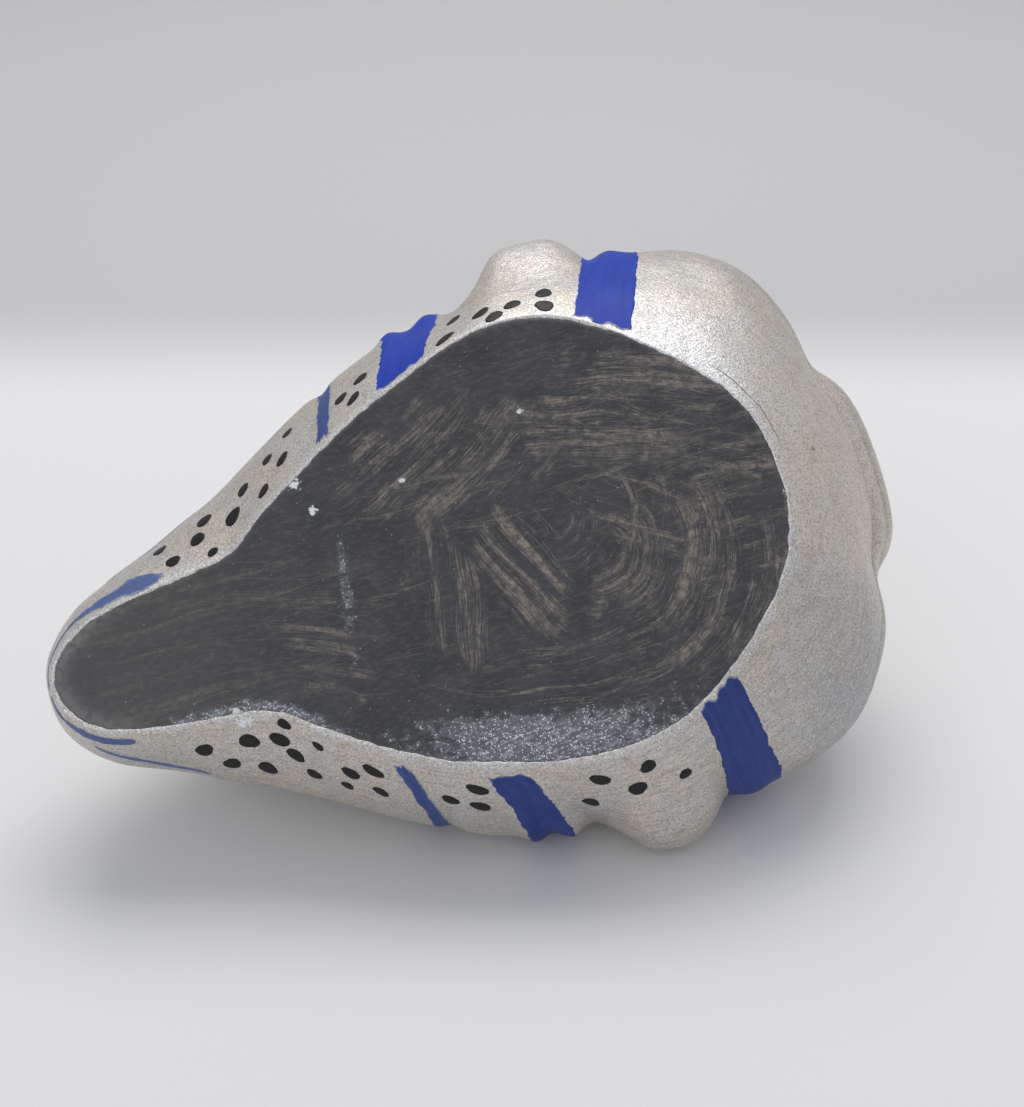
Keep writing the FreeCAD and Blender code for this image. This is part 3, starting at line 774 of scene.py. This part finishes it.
def build_carving(lay, colours):
    """The silver carving, closed behind the dark board.

    Each row of the grid goes round the carving once: from the left edge of the back over
    the flank and the front to the right edge, then in over the rim and across the recess.
    """
    place = row_places(ROWS)[:, None]
    flank = np.linspace(0.0, 1.0, FLANK_COLUMNS, endpoint=False) ** 1.25
    front = 1.0 + np.linspace(0.0, 1.0, FRONT_COLUMNS)
    turns = np.concatenate([flank, front])[None, :]
    left = carved_skin(place, turns, 1.0)
    right = carved_skin(place, turns[:, -2::-1], -1.0)
    # the rim: how far in towards the board, and at what height, the last one in the recess
    steps = np.array((0.12, 0.30, 0.55, 0.80, 0.94, 1.0, 1.0))[None, :]
    drops = np.array((0.03, 0.05, 0.04, 0.03, -0.02, -0.12, RECESS))[None, :]
    across = []
    for side in (-1.0, 1.0):
        edge = board_edge(place, side) + 0.02
        flat = rim_point(place, side, edge * steps, drops)
        flat[..., 2] += 0.02 * soft_waves(flat, 2.2, 31) * (drops > -1.0)
        across.append(flat)
    points = np.concatenate([left, right, across[0], across[1][:, ::-1]], axis=1)
    rows, columns = points.shape[:2]
    skin_columns = left.shape[1] + right.shape[1]
    turn_of = np.zeros((rows, columns))
    turn_of[:, :left.shape[1]] = turns
    turn_of[:, left.shape[1]:skin_columns] = turns[:, -2::-1]
    place_of = np.broadcast_to(place, (rows, columns))
    side_of = np.sign(points[..., 1] + 1e-9)
    wrap = np.stack([place_of * STATION_MM, turn_of * TURN_MM, side_of * 3.0], axis=-1)
    grooves = sum(bell(place_of - at, reach) * bell(turn_of - at_turn, turn_reach)
                  for at, reach, at_turn, turn_reach, rise in GROOVES)
    crack = ease(place_of, 16.5, 17.2) * ease(LAST - place_of, 0.3, 1.1) * (side_of > 0)
    # darker in the grooves and along the back's edge
    groove_darkening = np.clip(grooves * 0.7 + bell(turn_of, 0.03) * 0.25, 0.0, 1.0)
    # painted highlight: beside the rim of the left forehead, along the back's rolled edge and
    # on the left cheek lump
    painted_highlight = bell(place_of - 16.2, 1.9) * bell(turn_of - 0.14, 0.24) * (side_of > 0)
    painted_highlight = painted_highlight + 0.9 * bell(turn_of, 0.035)
    on_left = side_of > 0
    painted_highlight = painted_highlight + 0.9 * bell(place_of - 16.3, 1.5) * bell(turn_of - 0.05, 0.07) * on_left
    painted_highlight = painted_highlight + 0.6 * bell(place_of - 12.4, 0.9) * bell(turn_of - 0.72, 0.25) * on_left
    # painted bluish shade on the right flank below the crest
    shade = bell(place_of - 16.8, 1.6) * ease(turn_of, 0.05, 0.6) * (side_of < 0)
    layers = {"wrap": wrap.reshape(-1, 3), "groove_darkening": groove_darkening.ravel(), "painted_highlight": painted_highlight.ravel(),
              "shade": shade.ravel(), "crack": crack.ravel()}
    add_piece("silver_carving", points, ring_faces(rows, columns), layers,
              material_of("champagne_silver", silver_material, colours),
              ["carved_body"], lay)


def build_board(lay, colours):
    """The dark back board: a slab whose top rounds off towards its ragged edge."""
    place = row_places(BOARD_ROWS)[:, None]
    shares = np.sin(np.linspace(-math.pi / 2, math.pi / 2, BOARD_COLUMNS)) * 0.5 + 0.5
    edges = [rim_point(place, side, board_edge(place, side), 0.0) for side in (1.0, -1.0)]
    top = edges[0] * (1 - shares[None, :, None]) + edges[1] * shares[None, :, None]
    outline = np.concatenate([edges[0][:, 0, :2], edges[1][::-1, 0, :2]])
    flat = top[..., :2].reshape(-1, 1, 2)
    inside = np.sqrt(((flat - outline[None]) ** 2).sum(axis=-1).min(axis=1))
    inside = inside.reshape(top.shape[:2])
    brushed = 0.035 * soft_waves(top * np.array((0.6, 1.6, 1.0)), 2.6, 41)
    swells = 0.05 * soft_waves(top, 9.0, 42)
    rounded = BOARD_TOP - 0.13 * np.exp(-inside / 0.16)
    top[..., 2] = rounded + (brushed + swells) * ease(inside, 0.0, 1.2)
    low = [edge.copy() for edge in edges]
    for edge in low:
        edge[..., 2] = RECESS + 0.05
    points = np.concatenate([top, low[1], low[0]], axis=1)
    rows, columns = points.shape[:2]
    inside = np.concatenate([inside, np.zeros((rows, 2))], axis=1)
    u, v = points[..., 0], points[..., 1]
    lower_edge = np.exp(-inside / 2.6) * ease(-v, 2.0, 9.0)
    dust = 0.75 * lower_edge * steep_bell(u - 44.0, 17.0, 4.0)
    dust += 0.85 * bell(u - 43.0, 9.0) * bell(inside - 2.6, 1.9) * (v < -8.0)
    dust += 1.35 * np.exp(-inside / 0.9) * ease(-v, 2.0, 5.0) * steep_bell(u - 17.5, 8.0, 4.0)
    dust += 0.63 * bell((u - 29.5) - 0.165 * (v - 1.7), 0.95) * steep_bell(v - 0.7, 7.8, 4.0)
    dust += 0.40 * np.exp(-inside / 0.5) * ease(u, 40.0, 60.0) * ease(v, -8.0, 0.0)
    dust += 0.50 * np.exp(-inside / 0.5) * ease(u, 60.0, 68.0) * ease(-v, 0.0, 4.0)
    rim = 0.6 * np.exp(-inside / 0.15) + 1.1 * bell(inside - 0.3, 0.9) * ease(-u, -10.0, -4.0)
    layers = {"dust": np.clip(dust, 0, 1).ravel(), "rim": np.clip(rim, 0, 1).ravel()}
    add_piece("charcoal_back", points, ring_faces(rows, columns), layers,
              material_of("charcoal_wash", charcoal_material, colours),
              ["back_board"], lay)


def both_faces(values):
    """Values of a film's top, repeated for its underside."""
    return np.concatenate([values, values[:, ::-1]], axis=1)


def film(place, turn, side, thickness):
    """A closed film of paint on the skin over a grid of stations and turns.

    Its top stands off the skin by the thickness, and its border and its underside lie
    under the skin, so it ends in the paint below it.
    """
    rows, columns = place.shape
    border = np.zeros((rows, columns))
    border[[0, -1], :] = 1
    border[:, [0, -1]] = 1
    top = carved_skin(place, turn, side, np.where(border > 0, -PAINT_SINK, thickness))
    under = carved_skin(place, turn, side, -PAINT_SINK)
    points = np.concatenate([top, under[:, ::-1]], axis=1)
    return points, ring_faces(rows, columns * 2)


def brush_layers(cover, along, across, seed):
    """How well the paint covers, and the place along and across its bristle marks."""
    stroke = np.stack([along, across, 0.0 * along + seed], axis=-1)
    return {"cover": both_faces(cover).ravel(), "stroke": both_faces(stroke).reshape(-1, 3)}


def hand_line(share, length, seed):
    """A straight line of points, from which the waves of an unsteady hand are read."""
    return np.stack([share * length, share * 0.0 + seed, share * 0.0], axis=-1)


def painted_band(stations, turns, side, seed, rows=170, columns=40, ragged=0.025):
    """One brushed band that runs over the flank.

    Its two edges go straight from their inner to their outer stations, plus a ragged
    hand, and its ends are uneven by bristle.
    """
    from_in, to_in, from_out, to_out = stations
    along = np.linspace(0.0, 1.0, rows)[:, None]
    across = np.linspace(0.0, 1.0, columns)[None, :]
    line = hand_line(along[:, 0], 30.0, seed)

    def edge_run(inner, outer, dice):
        """One long edge: a straight run, a slow waver and a finer one half as strong."""
        run = inner + (outer - inner) * along + ragged * soft_waves(line, 3.0, dice)[:, None]
        return run + ragged * 0.5 * soft_waves(line, 0.7, dice + 1)[:, None]

    low = edge_run(from_in, from_out, seed)
    high = edge_run(to_in, to_out, seed + 2)
    ends = np.stack([across[0] * 12.0, across[0] * 0.0, across[0] * 0.0 + seed], axis=-1)
    start_turn = turns[0] + 0.02 * soft_waves(ends, 3.5, seed + 4)[None, :]
    end_turn = turns[1] + 0.035 * soft_waves(ends, 2.0, seed + 5)[None, :]
    place = low + (high - low) * across
    turn = np.clip(start_turn + (end_turn - start_turn) * along, *TURN_RANGE)
    edge = np.minimum(across, 1.0 - across) * (high - low) / 0.10
    tip = np.minimum(along * 22.0, (1.0 - along) * 5.0) + 0.0 * across
    cover = np.clip(np.minimum(edge, tip), 0.0, 1.0)
    bristle = np.stack(np.broadcast_arrays(along * 3.0, across * 11.0, float(seed)), axis=-1)
    thickness = 0.05 + 0.014 * soft_waves(bristle, 2.0, seed + 6)
    return *film(place, turn, side, thickness), brush_layers(
        cover, turn * TURN_MM, place * STATION_MM, seed)


def painted_line(path, side, seed, cover_share, rows=170, columns=16):
    """A brushed line along the skin: a smooth run through its stations, turns and widths.

    The width, in turns, swells from nothing at each end and wavers by hand.
    """
    path = np.array(path, dtype=float)
    knots = np.linspace(0.0, 1.0, len(path))
    share = np.linspace(0.0, 1.0, rows)
    window = 21
    smooth = np.ones(window) / window
    place, turn, width = [
        np.convolve(np.pad(np.interp(share, knots, path[:, column]), window // 2, mode="edge"),
                    smooth, mode="valid") for column in range(3)]
    line = hand_line(share, 20.0, seed)
    swell = np.clip(np.minimum(share, 1.0 - share) / 0.06, 0.0, 1.0) ** 0.6
    waver = 1.0 + 0.18 * soft_waves(line, 2.2, seed) + 0.08 * soft_waves(line, 0.6, seed + 1)
    half = width * 0.5 * (0.12 + 0.88 * swell) * waver
    across = np.linspace(-1.0, 1.0, columns)[None, :]
    turn = np.clip(turn[:, None] + half[:, None] * across, *TURN_RANGE)
    place = place[:, None] + 0.0 * across
    cover = np.clip((1.0 - np.abs(across)) * 2.2, 0.0, 1.0) * swell[:, None] * cover_share
    return *film(place, turn, side, 0.035), brush_layers(
        cover, place * STATION_MM, turn * TURN_MM, seed)


def add_paint(name, parts, material, node, lay):
    """One painted piece: its grids' points end to end, their faces renumbered to match."""
    points = np.concatenate([part[0].reshape(-1, 3) for part in parts])
    starts = np.cumsum([0] + [part[0].size // 3 for part in parts])
    faces = np.concatenate([part[1] + start for part, start in zip(parts, starts)])
    layers = {key: np.concatenate([part[2][key] for part in parts]) for key in parts[0][2]}
    add_piece(name, points, faces, layers, material, [node], lay)


BANDS = {
    # stations at the back's edge, stations further out, turns, side, seed
    "jaw_stripe_left": ((7.6, 7.95, 7.25, 7.65), (0.05, 1.30), 1.0, 101),
    "jaw_stripe_right": ((7.15, 7.5, 7.15, 7.5), (0.12, 1.30), -1.0, 111),
    "cheek_stripe_left": ((9.25, 10.4, 8.75, 10.2), (0.03, 1.38), 1.0, 121),
    "cheek_stripe_right": ((9.1, 10.0, 9.0, 10.1), (0.10, 1.38), -1.0, 131),
    "temple_stripe_left": ((13.87, 15.1, 13.6, 15.1), (0.01, 1.40), 1.0, 141),
    "temple_stripe_right": ((13.95, 15.0, 13.77, 15.0), (0.008, 1.40), -1.0, 151),
}
CHIN_STROKE = [
    # station, turn and width of each knot, then the side, the seed and the cover
    ([(0.0, 0.26, 0.12), (0.8, 0.25, 0.11), (1.6, 0.21, 0.10), (2.3, 0.19, 0.10),
      (2.8, 0.17, 0.22), (3.3, 0.16, 0.31), (3.95, 0.11, 0.20)], 1.0, 201, 0.42),
    ([(0.0, 0.26, 0.12), (0.7, 0.25, 0.14), (1.3, 0.22, 0.15), (2.0, 0.20, 0.14),
      (2.75, 0.17, 0.12)], -1.0, 211, 0.75),
]
CHIN_LINES = {
    "chin_line_left": ([(2.9, 0.72, 0.07), (3.5, 0.84, 0.09), (4.2, 0.88, 0.09),
                        (4.7, 0.90, 0.06)], 1.0, 221, 0.7),
    "chin_line_right": ([(1.7, 0.44, 0.07), (2.4, 0.55, 0.10), (3.1, 0.66, 0.10),
                         (3.9, 0.78, 0.06)], -1.0, 231, 0.7),
}
DOTS = {
    # station, turn and share of the full size of each dot, and the side
    "chin_dots_left": ([(4.0, 0.52, 0.9), (4.1, 0.22, 0.95), (4.6, 0.30, 1.0),
                        (4.75, 0.085, 0.62), (4.8, 0.45, 0.95), (5.3, 0.24, 1.15),
                        (5.6, 0.38, 0.95), (6.1, 0.15, 0.95), (6.2, 0.41, 0.85),
                        (6.6, 0.25, 0.9), (6.7, 0.49, 0.8)], 1.0),
    "chin_dots_right": ([(3.8, 0.34, 1.0), (4.5, 0.24, 1.1), (4.2, 0.51, 0.95),
                         (5.15, 0.07, 0.75), (5.0, 0.21, 1.1), (4.7, 0.53, 1.1),
                         (5.2, 0.32, 1.0), (5.7, 0.16, 0.65), (5.4, 0.47, 0.85),
                         (6.1, 0.33, 1.0), (5.9, 0.49, 0.75), (6.6, 0.24, 1.05),
                         (6.5, 0.45, 0.9)], -1.0),
    "jaw_dots_left": ([(8.2, 0.29, 0.95), (8.6, 0.17, 0.95), (8.7, 0.33, 0.95)], 1.0),
    "jaw_dots_right": ([(8.7, 0.23, 1.1), (7.95, 0.36, 0.9), (8.5, 0.40, 1.05)], -1.0),
    "cheek_dots_left": ([(10.9, 0.10, 1.1), (10.9, 0.32, 0.9), (11.7, 0.165, 1.0),
                         (12.1, 0.06, 1.05), (12.45, 0.13, 1.0), (13.1, 0.195, 1.0),
                         (13.2, 0.075, 1.05)], 1.0),
    "cheek_dots_right": ([(11.3, 0.20, 1.1), (10.8, 0.42, 0.95), (12.4, 0.18, 1.0),
                          (12.0, 0.33, 1.05), (13.1, 0.34, 0.75)], -1.0),
}
FOREHEAD_DOTS = [(15.8, 1.60, 1.0), (15.8, 1.78, 1.0), (17.2, 1.60, 1.0), (17.2, 1.78, 1.0)]
EYES = {
    # station, turn and size of the one big dab, the side and the seed
    "eye_left": ([(11.81, 1.611, 1.0)], 1.0, 401),
    "eye_right": ([(12.28, 1.609, 1.0)], -1.0, 402),
}
EYE_RADII = (3.2, 4.6)
MOUTH_BARS = [(4.07, 4.335, 0.28, 0.34), (4.70, 4.96, 0.28, 0.285)]


def dabs(spots, side, radii, seed, rings=7, spokes=28, thickness=0.07):
    """Low oval dabs of paint, each a closed cap on the skin.

    A dab is a disc of rings and spokes: station and turn move from its middle by the
    radii over the local millimetres in a station and in a turn, times a wavering outline.
    """
    spots = np.array(spots, dtype=float)
    count = len(spots)
    dice = np.random.default_rng(seed)
    at, at_turn, share = spots.T
    middle = carved_skin(at, at_turn, side)
    near, near_turn = 0.1, 0.02
    per_station = np.linalg.norm(carved_skin(at + near, at_turn, side) - middle, axis=-1) / near
    per_turn = np.linalg.norm(carved_skin(at, at_turn + near_turn, side) - middle, axis=-1)
    per_turn = per_turn / near_turn
    spoke = np.linspace(0.0, 2 * math.pi, spokes, endpoint=False)[None, None, :]
    ring = np.linspace(0.0, 1.0, rings)[None, :, None]
    sizes = share[:, None, None] * dice.uniform(0.95, 1.05, (count, 1, 1))
    tilt = dice.uniform(-0.5, 0.5, (count, 1, 1))
    phase = dice.uniform(0, 2 * math.pi, (count, 1, 1))
    outline = 1 + 0.05 * np.sin(2 * spoke + phase) + 0.05 * np.sin(3 * spoke + 2 * phase)
    outline = outline + 0.02 * np.sin(7 * spoke + 3 * phase)
    x = radii[0] * sizes * outline * ring * np.cos(spoke)
    y = radii[1] * sizes * outline * ring * np.sin(spoke)
    along = x * np.cos(tilt) - y * np.sin(tilt)
    around = x * np.sin(tilt) + y * np.cos(tilt)
    place = at[:, None, None] + along / per_station[:, None, None]
    turn = at_turn[:, None, None] + around / per_turn[:, None, None]
    lift = thickness * np.sqrt(np.clip(1 - ring ** 4, 0, 1)) + 0 * spoke
    lift = np.where(ring >= 1.0, -PAINT_SINK, lift) + 0 * place
    top = carved_skin(place, turn, side, lift)
    under = carved_skin(place, turn, side, -PAINT_SINK)
    points = np.concatenate([top, under[:, ::-1]], axis=1)
    faces = np.concatenate([ring_faces(rings * 2, spokes, index * rings * 2 * spokes)
                            for index in range(count)])
    return points, faces, {}


def front_patch(place_from, place_to, turn_half, bow, rows=24, columns=70):
    """A painted bar across the front ridge.

    Its ends lie turn_half short of the ridge on either side. They bow towards the
    forehead by so many stations, which keeps the bar straight seen from the front.
    """
    along = np.linspace(place_from, place_to, rows)[:, None]
    sweep = np.linspace(-1.0, 1.0, columns)[None, :]
    pinch = np.clip(1.0 - np.abs(sweep) ** 8, 0.0, 1.0) ** 0.5
    middle = (place_from + place_to) / 2
    place = middle + (along - middle) * (0.15 + 0.85 * pinch)
    place = place + bow * np.abs(sweep)
    turn = 2.0 - turn_half * np.abs(sweep) + 0 * along
    side = np.where(sweep <= 0, 1.0, -1.0) + 0 * along
    return *film(place, turn, side, 0.06), {}


# ---------------------------------------------------------------- what a user may change
class MaskLay(bpy.types.PropertyGroup):
    """How the mask lies on the floor, and the size of its dots."""
    roll: FloatProperty(
        name="Roll", description="Forehead end up, about the back's own axis",
        default=math.radians(17.0), unit="ROTATION")
    lean: FloatProperty(
        name="Lean", description="Rise of the back's outward direction",
        default=math.asin(frame["record"]["mounts"][0]["axis"][2]), unit="ROTATION")
    dab_length: FloatProperty(
        name="Vent dot length", description="Painted vent dot, in millimetres",
        default=2.0, min=0.5)
    dab_width: FloatProperty(
        name="Vent dot width", description="Painted vent dot, in millimetres",
        default=1.68, min=0.4)


class MaskColours(bpy.types.PropertyGroup):
    """Paint colours of the mask."""
    silver_warm: FloatVectorProperty(
        name="Warm silver", description="Champagne side of the metal paint",
        subtype="COLOR", size=3, min=0, max=1, default=(0.68, 0.615, 0.545))
    silver_cool: FloatVectorProperty(
        name="Cool silver", description="Grey side of the metal paint",
        subtype="COLOR", size=3, min=0, max=1, default=(0.63, 0.61, 0.59))
    charcoal: FloatVectorProperty(
        name="Charcoal", description="Paint of the flat back",
        subtype="COLOR", size=3, min=0, max=1, default=(0.041, 0.042, 0.050))
    bare_wood: FloatVectorProperty(
        name="Bare wood", description="Tan wood under the dry brush",
        subtype="COLOR", size=3, min=0, max=1, default=(0.31, 0.265, 0.225))
    cobalt: FloatVectorProperty(
        name="Cobalt", description="Paint of the left side's wide stripes",
        subtype="COLOR", size=3, min=0, max=1, default=(0.005, 0.036, 0.36))
    # the same paint as the cobalt, darker as painted shade on the right side's stripes
    shaded_navy: FloatVectorProperty(
        name="Navy", description="Thicker paint of the right side's wide stripes",
        subtype="COLOR", size=3, min=0, max=1, default=(0.022, 0.042, 0.20))
    slate: FloatVectorProperty(
        name="Slate blue", description="Worn paint of the jaw stripes",
        subtype="COLOR", size=3, min=0, max=1, default=(0.040, 0.068, 0.215))
    periwinkle: FloatVectorProperty(
        name="Thin blue", description="Thinned paint of the chin strokes",
        subtype="COLOR", size=3, min=0, max=1, default=(0.080, 0.118, 0.27))
    black: FloatVectorProperty(
        name="Black", description="Paint of the vent dots and the eyes",
        subtype="COLOR", size=3, min=0, max=1, default=(0.006, 0.006, 0.007))


class MaskStage(bpy.types.PropertyGroup):
    """Floor, camera and lamps."""
    floor: FloatVectorProperty(
        name="Floor", description="Colour of the floor",
        subtype="COLOR", size=3, min=0, max=1, default=(0.79, 0.79, 0.805))
    camera_elevation: FloatProperty(
        name="Camera elevation", description="Above the level",
        default=math.radians(33.6), unit="ROTATION")
    camera_distance: FloatProperty(
        name="Camera distance", description="From the middle of the back",
        default=0.1634, unit="LENGTH")
    lens: FloatProperty(name="Lens", description="Focal length in millimetres", default=56.6)


class MASK_OT_carving(bpy.types.Operator):
    """Add the silver carving"""
    bl_idname = "mask.carving"
    bl_label = "Silver carving"

    def execute(self, context):
        make_effects()
        build_carving(context.scene.mask_lay, context.scene.mask_colours)
        return {"FINISHED"}


class MASK_OT_board(bpy.types.Operator):
    """Add the dark board of the flat back"""
    bl_idname = "mask.board"
    bl_label = "Back board"

    def execute(self, context):
        make_effects()
        build_board(context.scene.mask_lay, context.scene.mask_colours)
        return {"FINISHED"}


class MASK_OT_stripes(bpy.types.Operator):
    """Add the blue stripes over the flanks"""
    bl_idname = "mask.stripes"
    bl_label = "Blue stripes"

    def execute(self, context):
        colours = context.scene.mask_colours
        # each blue, and what it thins to where the bristles leave it bare; the navy is the
        # cobalt's paint, darkened into painted shade for the right side
        blues = {
            "cobalt_brush": (colours.cobalt, (0.50, 0.50, 0.56)),
            "shaded_navy_brush": (colours.shaded_navy, (0.30, 0.33, 0.42)),
            "slate_blue_brush": (colours.slate, (0.33, 0.35, 0.43)),
        }
        for node, (stations, turns, side, seed) in BANDS.items():
            name = "cobalt_brush" if side > 0 else "shaded_navy_brush"
            if node.startswith("jaw"):
                name = "slate_blue_brush"
            paint = material_of(name, blue_material, name, *blues[name])
            add_paint(node + "_brush", [painted_band(stations, turns, side, seed)], paint,
                      node, context.scene.mask_lay)
        return {"FINISHED"}


class MASK_OT_chin_lines(bpy.types.Operator):
    """Add the thin blue strokes round the chin tip"""
    bl_idname = "mask.chin_lines"
    bl_label = "Chin strokes"

    def execute(self, context):
        lay = context.scene.mask_lay
        paint = material_of("thin_blue_brush", blue_material, "thin_blue_brush",
                            context.scene.mask_colours.periwinkle, (0.46, 0.47, 0.55))
        halves = [painted_line(*half) for half in CHIN_STROKE]
        add_paint("chin_stroke_brush", halves, paint, "chin_stroke", lay)
        for node, line in CHIN_LINES.items():
            add_paint(node + "_brush", [painted_line(*line)], paint, node, lay)
        return {"FINISHED"}


class MASK_OT_dots(bpy.types.Operator):
    """Add the black vent dots"""
    bl_idname = "mask.dots"
    bl_label = "Vent dots"

    def execute(self, context):
        lay = context.scene.mask_lay
        paint = material_of("gloss_black_dabs", black_material, context.scene.mask_colours)
        radii = (lay.dab_length / 2, lay.dab_width / 2)
        for seed, (node, (spots, side)) in enumerate(DOTS.items(), start=301):
            add_paint(node + "_dabs", [dabs(spots, side, radii, seed)], paint,
                      node, lay)
        pair = [dabs(FOREHEAD_DOTS, side, radii, 311) for side in (1.0, -1.0)]
        add_paint("forehead_dots_dabs", pair, paint, "forehead_dots", lay)
        return {"FINISHED"}


class MASK_OT_face(bpy.types.Operator):
    """Add the painted eyes and mouth bars of the front"""
    bl_idname = "mask.face"
    bl_label = "Eyes and mouth"

    def execute(self, context):
        lay = context.scene.mask_lay
        paint = material_of("gloss_black_dabs", black_material, context.scene.mask_colours)
        for node, (spots, side, seed) in EYES.items():
            eye = dabs(spots, side, EYE_RADII, seed, rings=26, spokes=80)
            add_paint(node + "_paint", [eye], paint, node, lay)
        bars = [front_patch(*bar) for bar in MOUTH_BARS]
        add_paint("mouth_bars_paint", bars, paint, "mouth_bars", lay)
        return {"FINISHED"}


def floor_material(colour):
    """Plain pale floor, darker far behind the mask as painted shade."""
    tree, shader = new_material("pale_floor")
    place = put(tree, "ShaderNodeTexCoord").outputs["Object"]
    deep = put(tree, "ShaderNodeSeparateXYZ", {0: place}).outputs[1]
    # painted shade: the floor darkens far behind the mask
    shade = between(tree, deep, 0.070, 0.105)
    tone = blend_colour(tree, shade, (*colour, 1), (*[channel * 0.70 for channel in colour], 1))
    tree.links.new(tone, shader.inputs["Base Color"])
    shader.inputs["Roughness"].default_value = 0.95
    shader.inputs["Specular IOR Level"].default_value = 0.1


def add_lamp(name, place, width, height, power, colour):
    """A soft rectangular lamp that looks at the middle of the mask."""
    data = bpy.data.lights.new(name, "AREA")
    data.shape = "RECTANGLE"
    data.size = width
    data.size_y = height
    data.energy = power
    data.color = colour
    lamp = bpy.data.objects.new(name, data)
    lamp.location = place
    towards = Vector((0.0, 0.0, 0.02)) - Vector(place)
    lamp.rotation_euler = towards.to_track_quat("-Z", "Y").to_euler()
    bpy.context.scene.collection.objects.link(lamp)


class MASK_OT_stage(bpy.types.Operator):
    """Add the floor, the lamps and the camera"""
    bl_idname = "mask.stage"
    bl_label = "Stage"

    def execute(self, context):
        scene = context.scene
        stage = scene.mask_stage
        corners = [(-3, -3, 0), (3, -3, 0), (3, 3, 0), (-3, 3, 0)]
        mesh = bpy.data.meshes.new("floor")
        mesh.from_pydata(corners, [], [(0, 1, 2, 3)])
        mesh.materials.append(material_of("pale_floor", floor_material, stage.floor))
        floor = bpy.data.objects.new("floor", mesh)
        scene.collection.objects.link(floor)
        world = bpy.data.worlds.new("studio")
        world.use_nodes = True
        background = world.node_tree.nodes["Background"]
        background.inputs["Color"].default_value = (0.95, 0.97, 1.0, 1)
        background.inputs["Strength"].default_value = 0.50
        scene.world = world
        add_lamp("key", (0.02, 0.20, 0.44), 0.40, 0.30, 1.27, (1.0, 0.985, 0.96))
        add_lamp("fill", (-0.20, -0.45, 0.35), 0.50, 0.40, 0.45, (0.96, 0.98, 1.0))
        scene.view_settings.view_transform = "Standard"
        lay = scene.mask_lay
        anchor = lay_down(np.array((LOOK_AT,)), lay.roll, lay.lean)[0]
        data = bpy.data.cameras.new("camera")
        data.lens = stage.lens
        data.sensor_width = 36.0
        data.clip_start = 0.01
        camera = bpy.data.objects.new("camera", data)
        rise = stage.camera_elevation
        away = Vector((0.0, -math.cos(rise), math.sin(rise))) * stage.camera_distance
        camera.location = Vector(anchor) + away
        camera.rotation_euler = (-away).to_track_quat("-Z", "Y").to_euler()
        scene.collection.objects.link(camera)
        scene.camera = camera
        return {"FINISHED"}


class MASK_PT_panel(bpy.types.Panel):
    """Buttons of the mask in the 3D view's sidebar"""
    bl_idname = "MASK_PT_panel"
    bl_label = "Carved Goalie Mask"
    bl_space_type = "VIEW_3D"
    bl_region_type = "UI"
    bl_category = "Mask"

    def draw(self, context):
        for operator in OPERATORS:
            self.layout.operator(operator.bl_idname)
        scene = context.scene
        for group in (scene.mask_lay, scene.mask_colours, scene.mask_stage):
            for key in group.__annotations__:
                self.layout.prop(group, key)


OPERATORS = (MASK_OT_stage, MASK_OT_carving, MASK_OT_board, MASK_OT_stripes, MASK_OT_chin_lines,
             MASK_OT_dots, MASK_OT_face)
CLASSES = (MaskLay, MaskColours, MaskStage) + OPERATORS + (MASK_PT_panel,)


def register():
    for item in CLASSES:
        bpy.utils.register_class(item)
    bpy.types.Scene.mask_lay = PointerProperty(type=MaskLay)
    bpy.types.Scene.mask_colours = PointerProperty(type=MaskColours)
    bpy.types.Scene.mask_stage = PointerProperty(type=MaskStage)


def unregister():
    del bpy.types.Scene.mask_stage
    del bpy.types.Scene.mask_colours
    del bpy.types.Scene.mask_lay
    for item in reversed(CLASSES):
        bpy.utils.unregister_class(item)


def main():
    """Builds the stage and every piece."""
    register()
    bpy.ops.mask.stage()
    bpy.ops.mask.carving()
    bpy.ops.mask.board()
    bpy.ops.mask.stripes()
    bpy.ops.mask.chin_lines()
    bpy.ops.mask.dots()
    bpy.ops.mask.face()


if __name__ == "__main__":
    main()
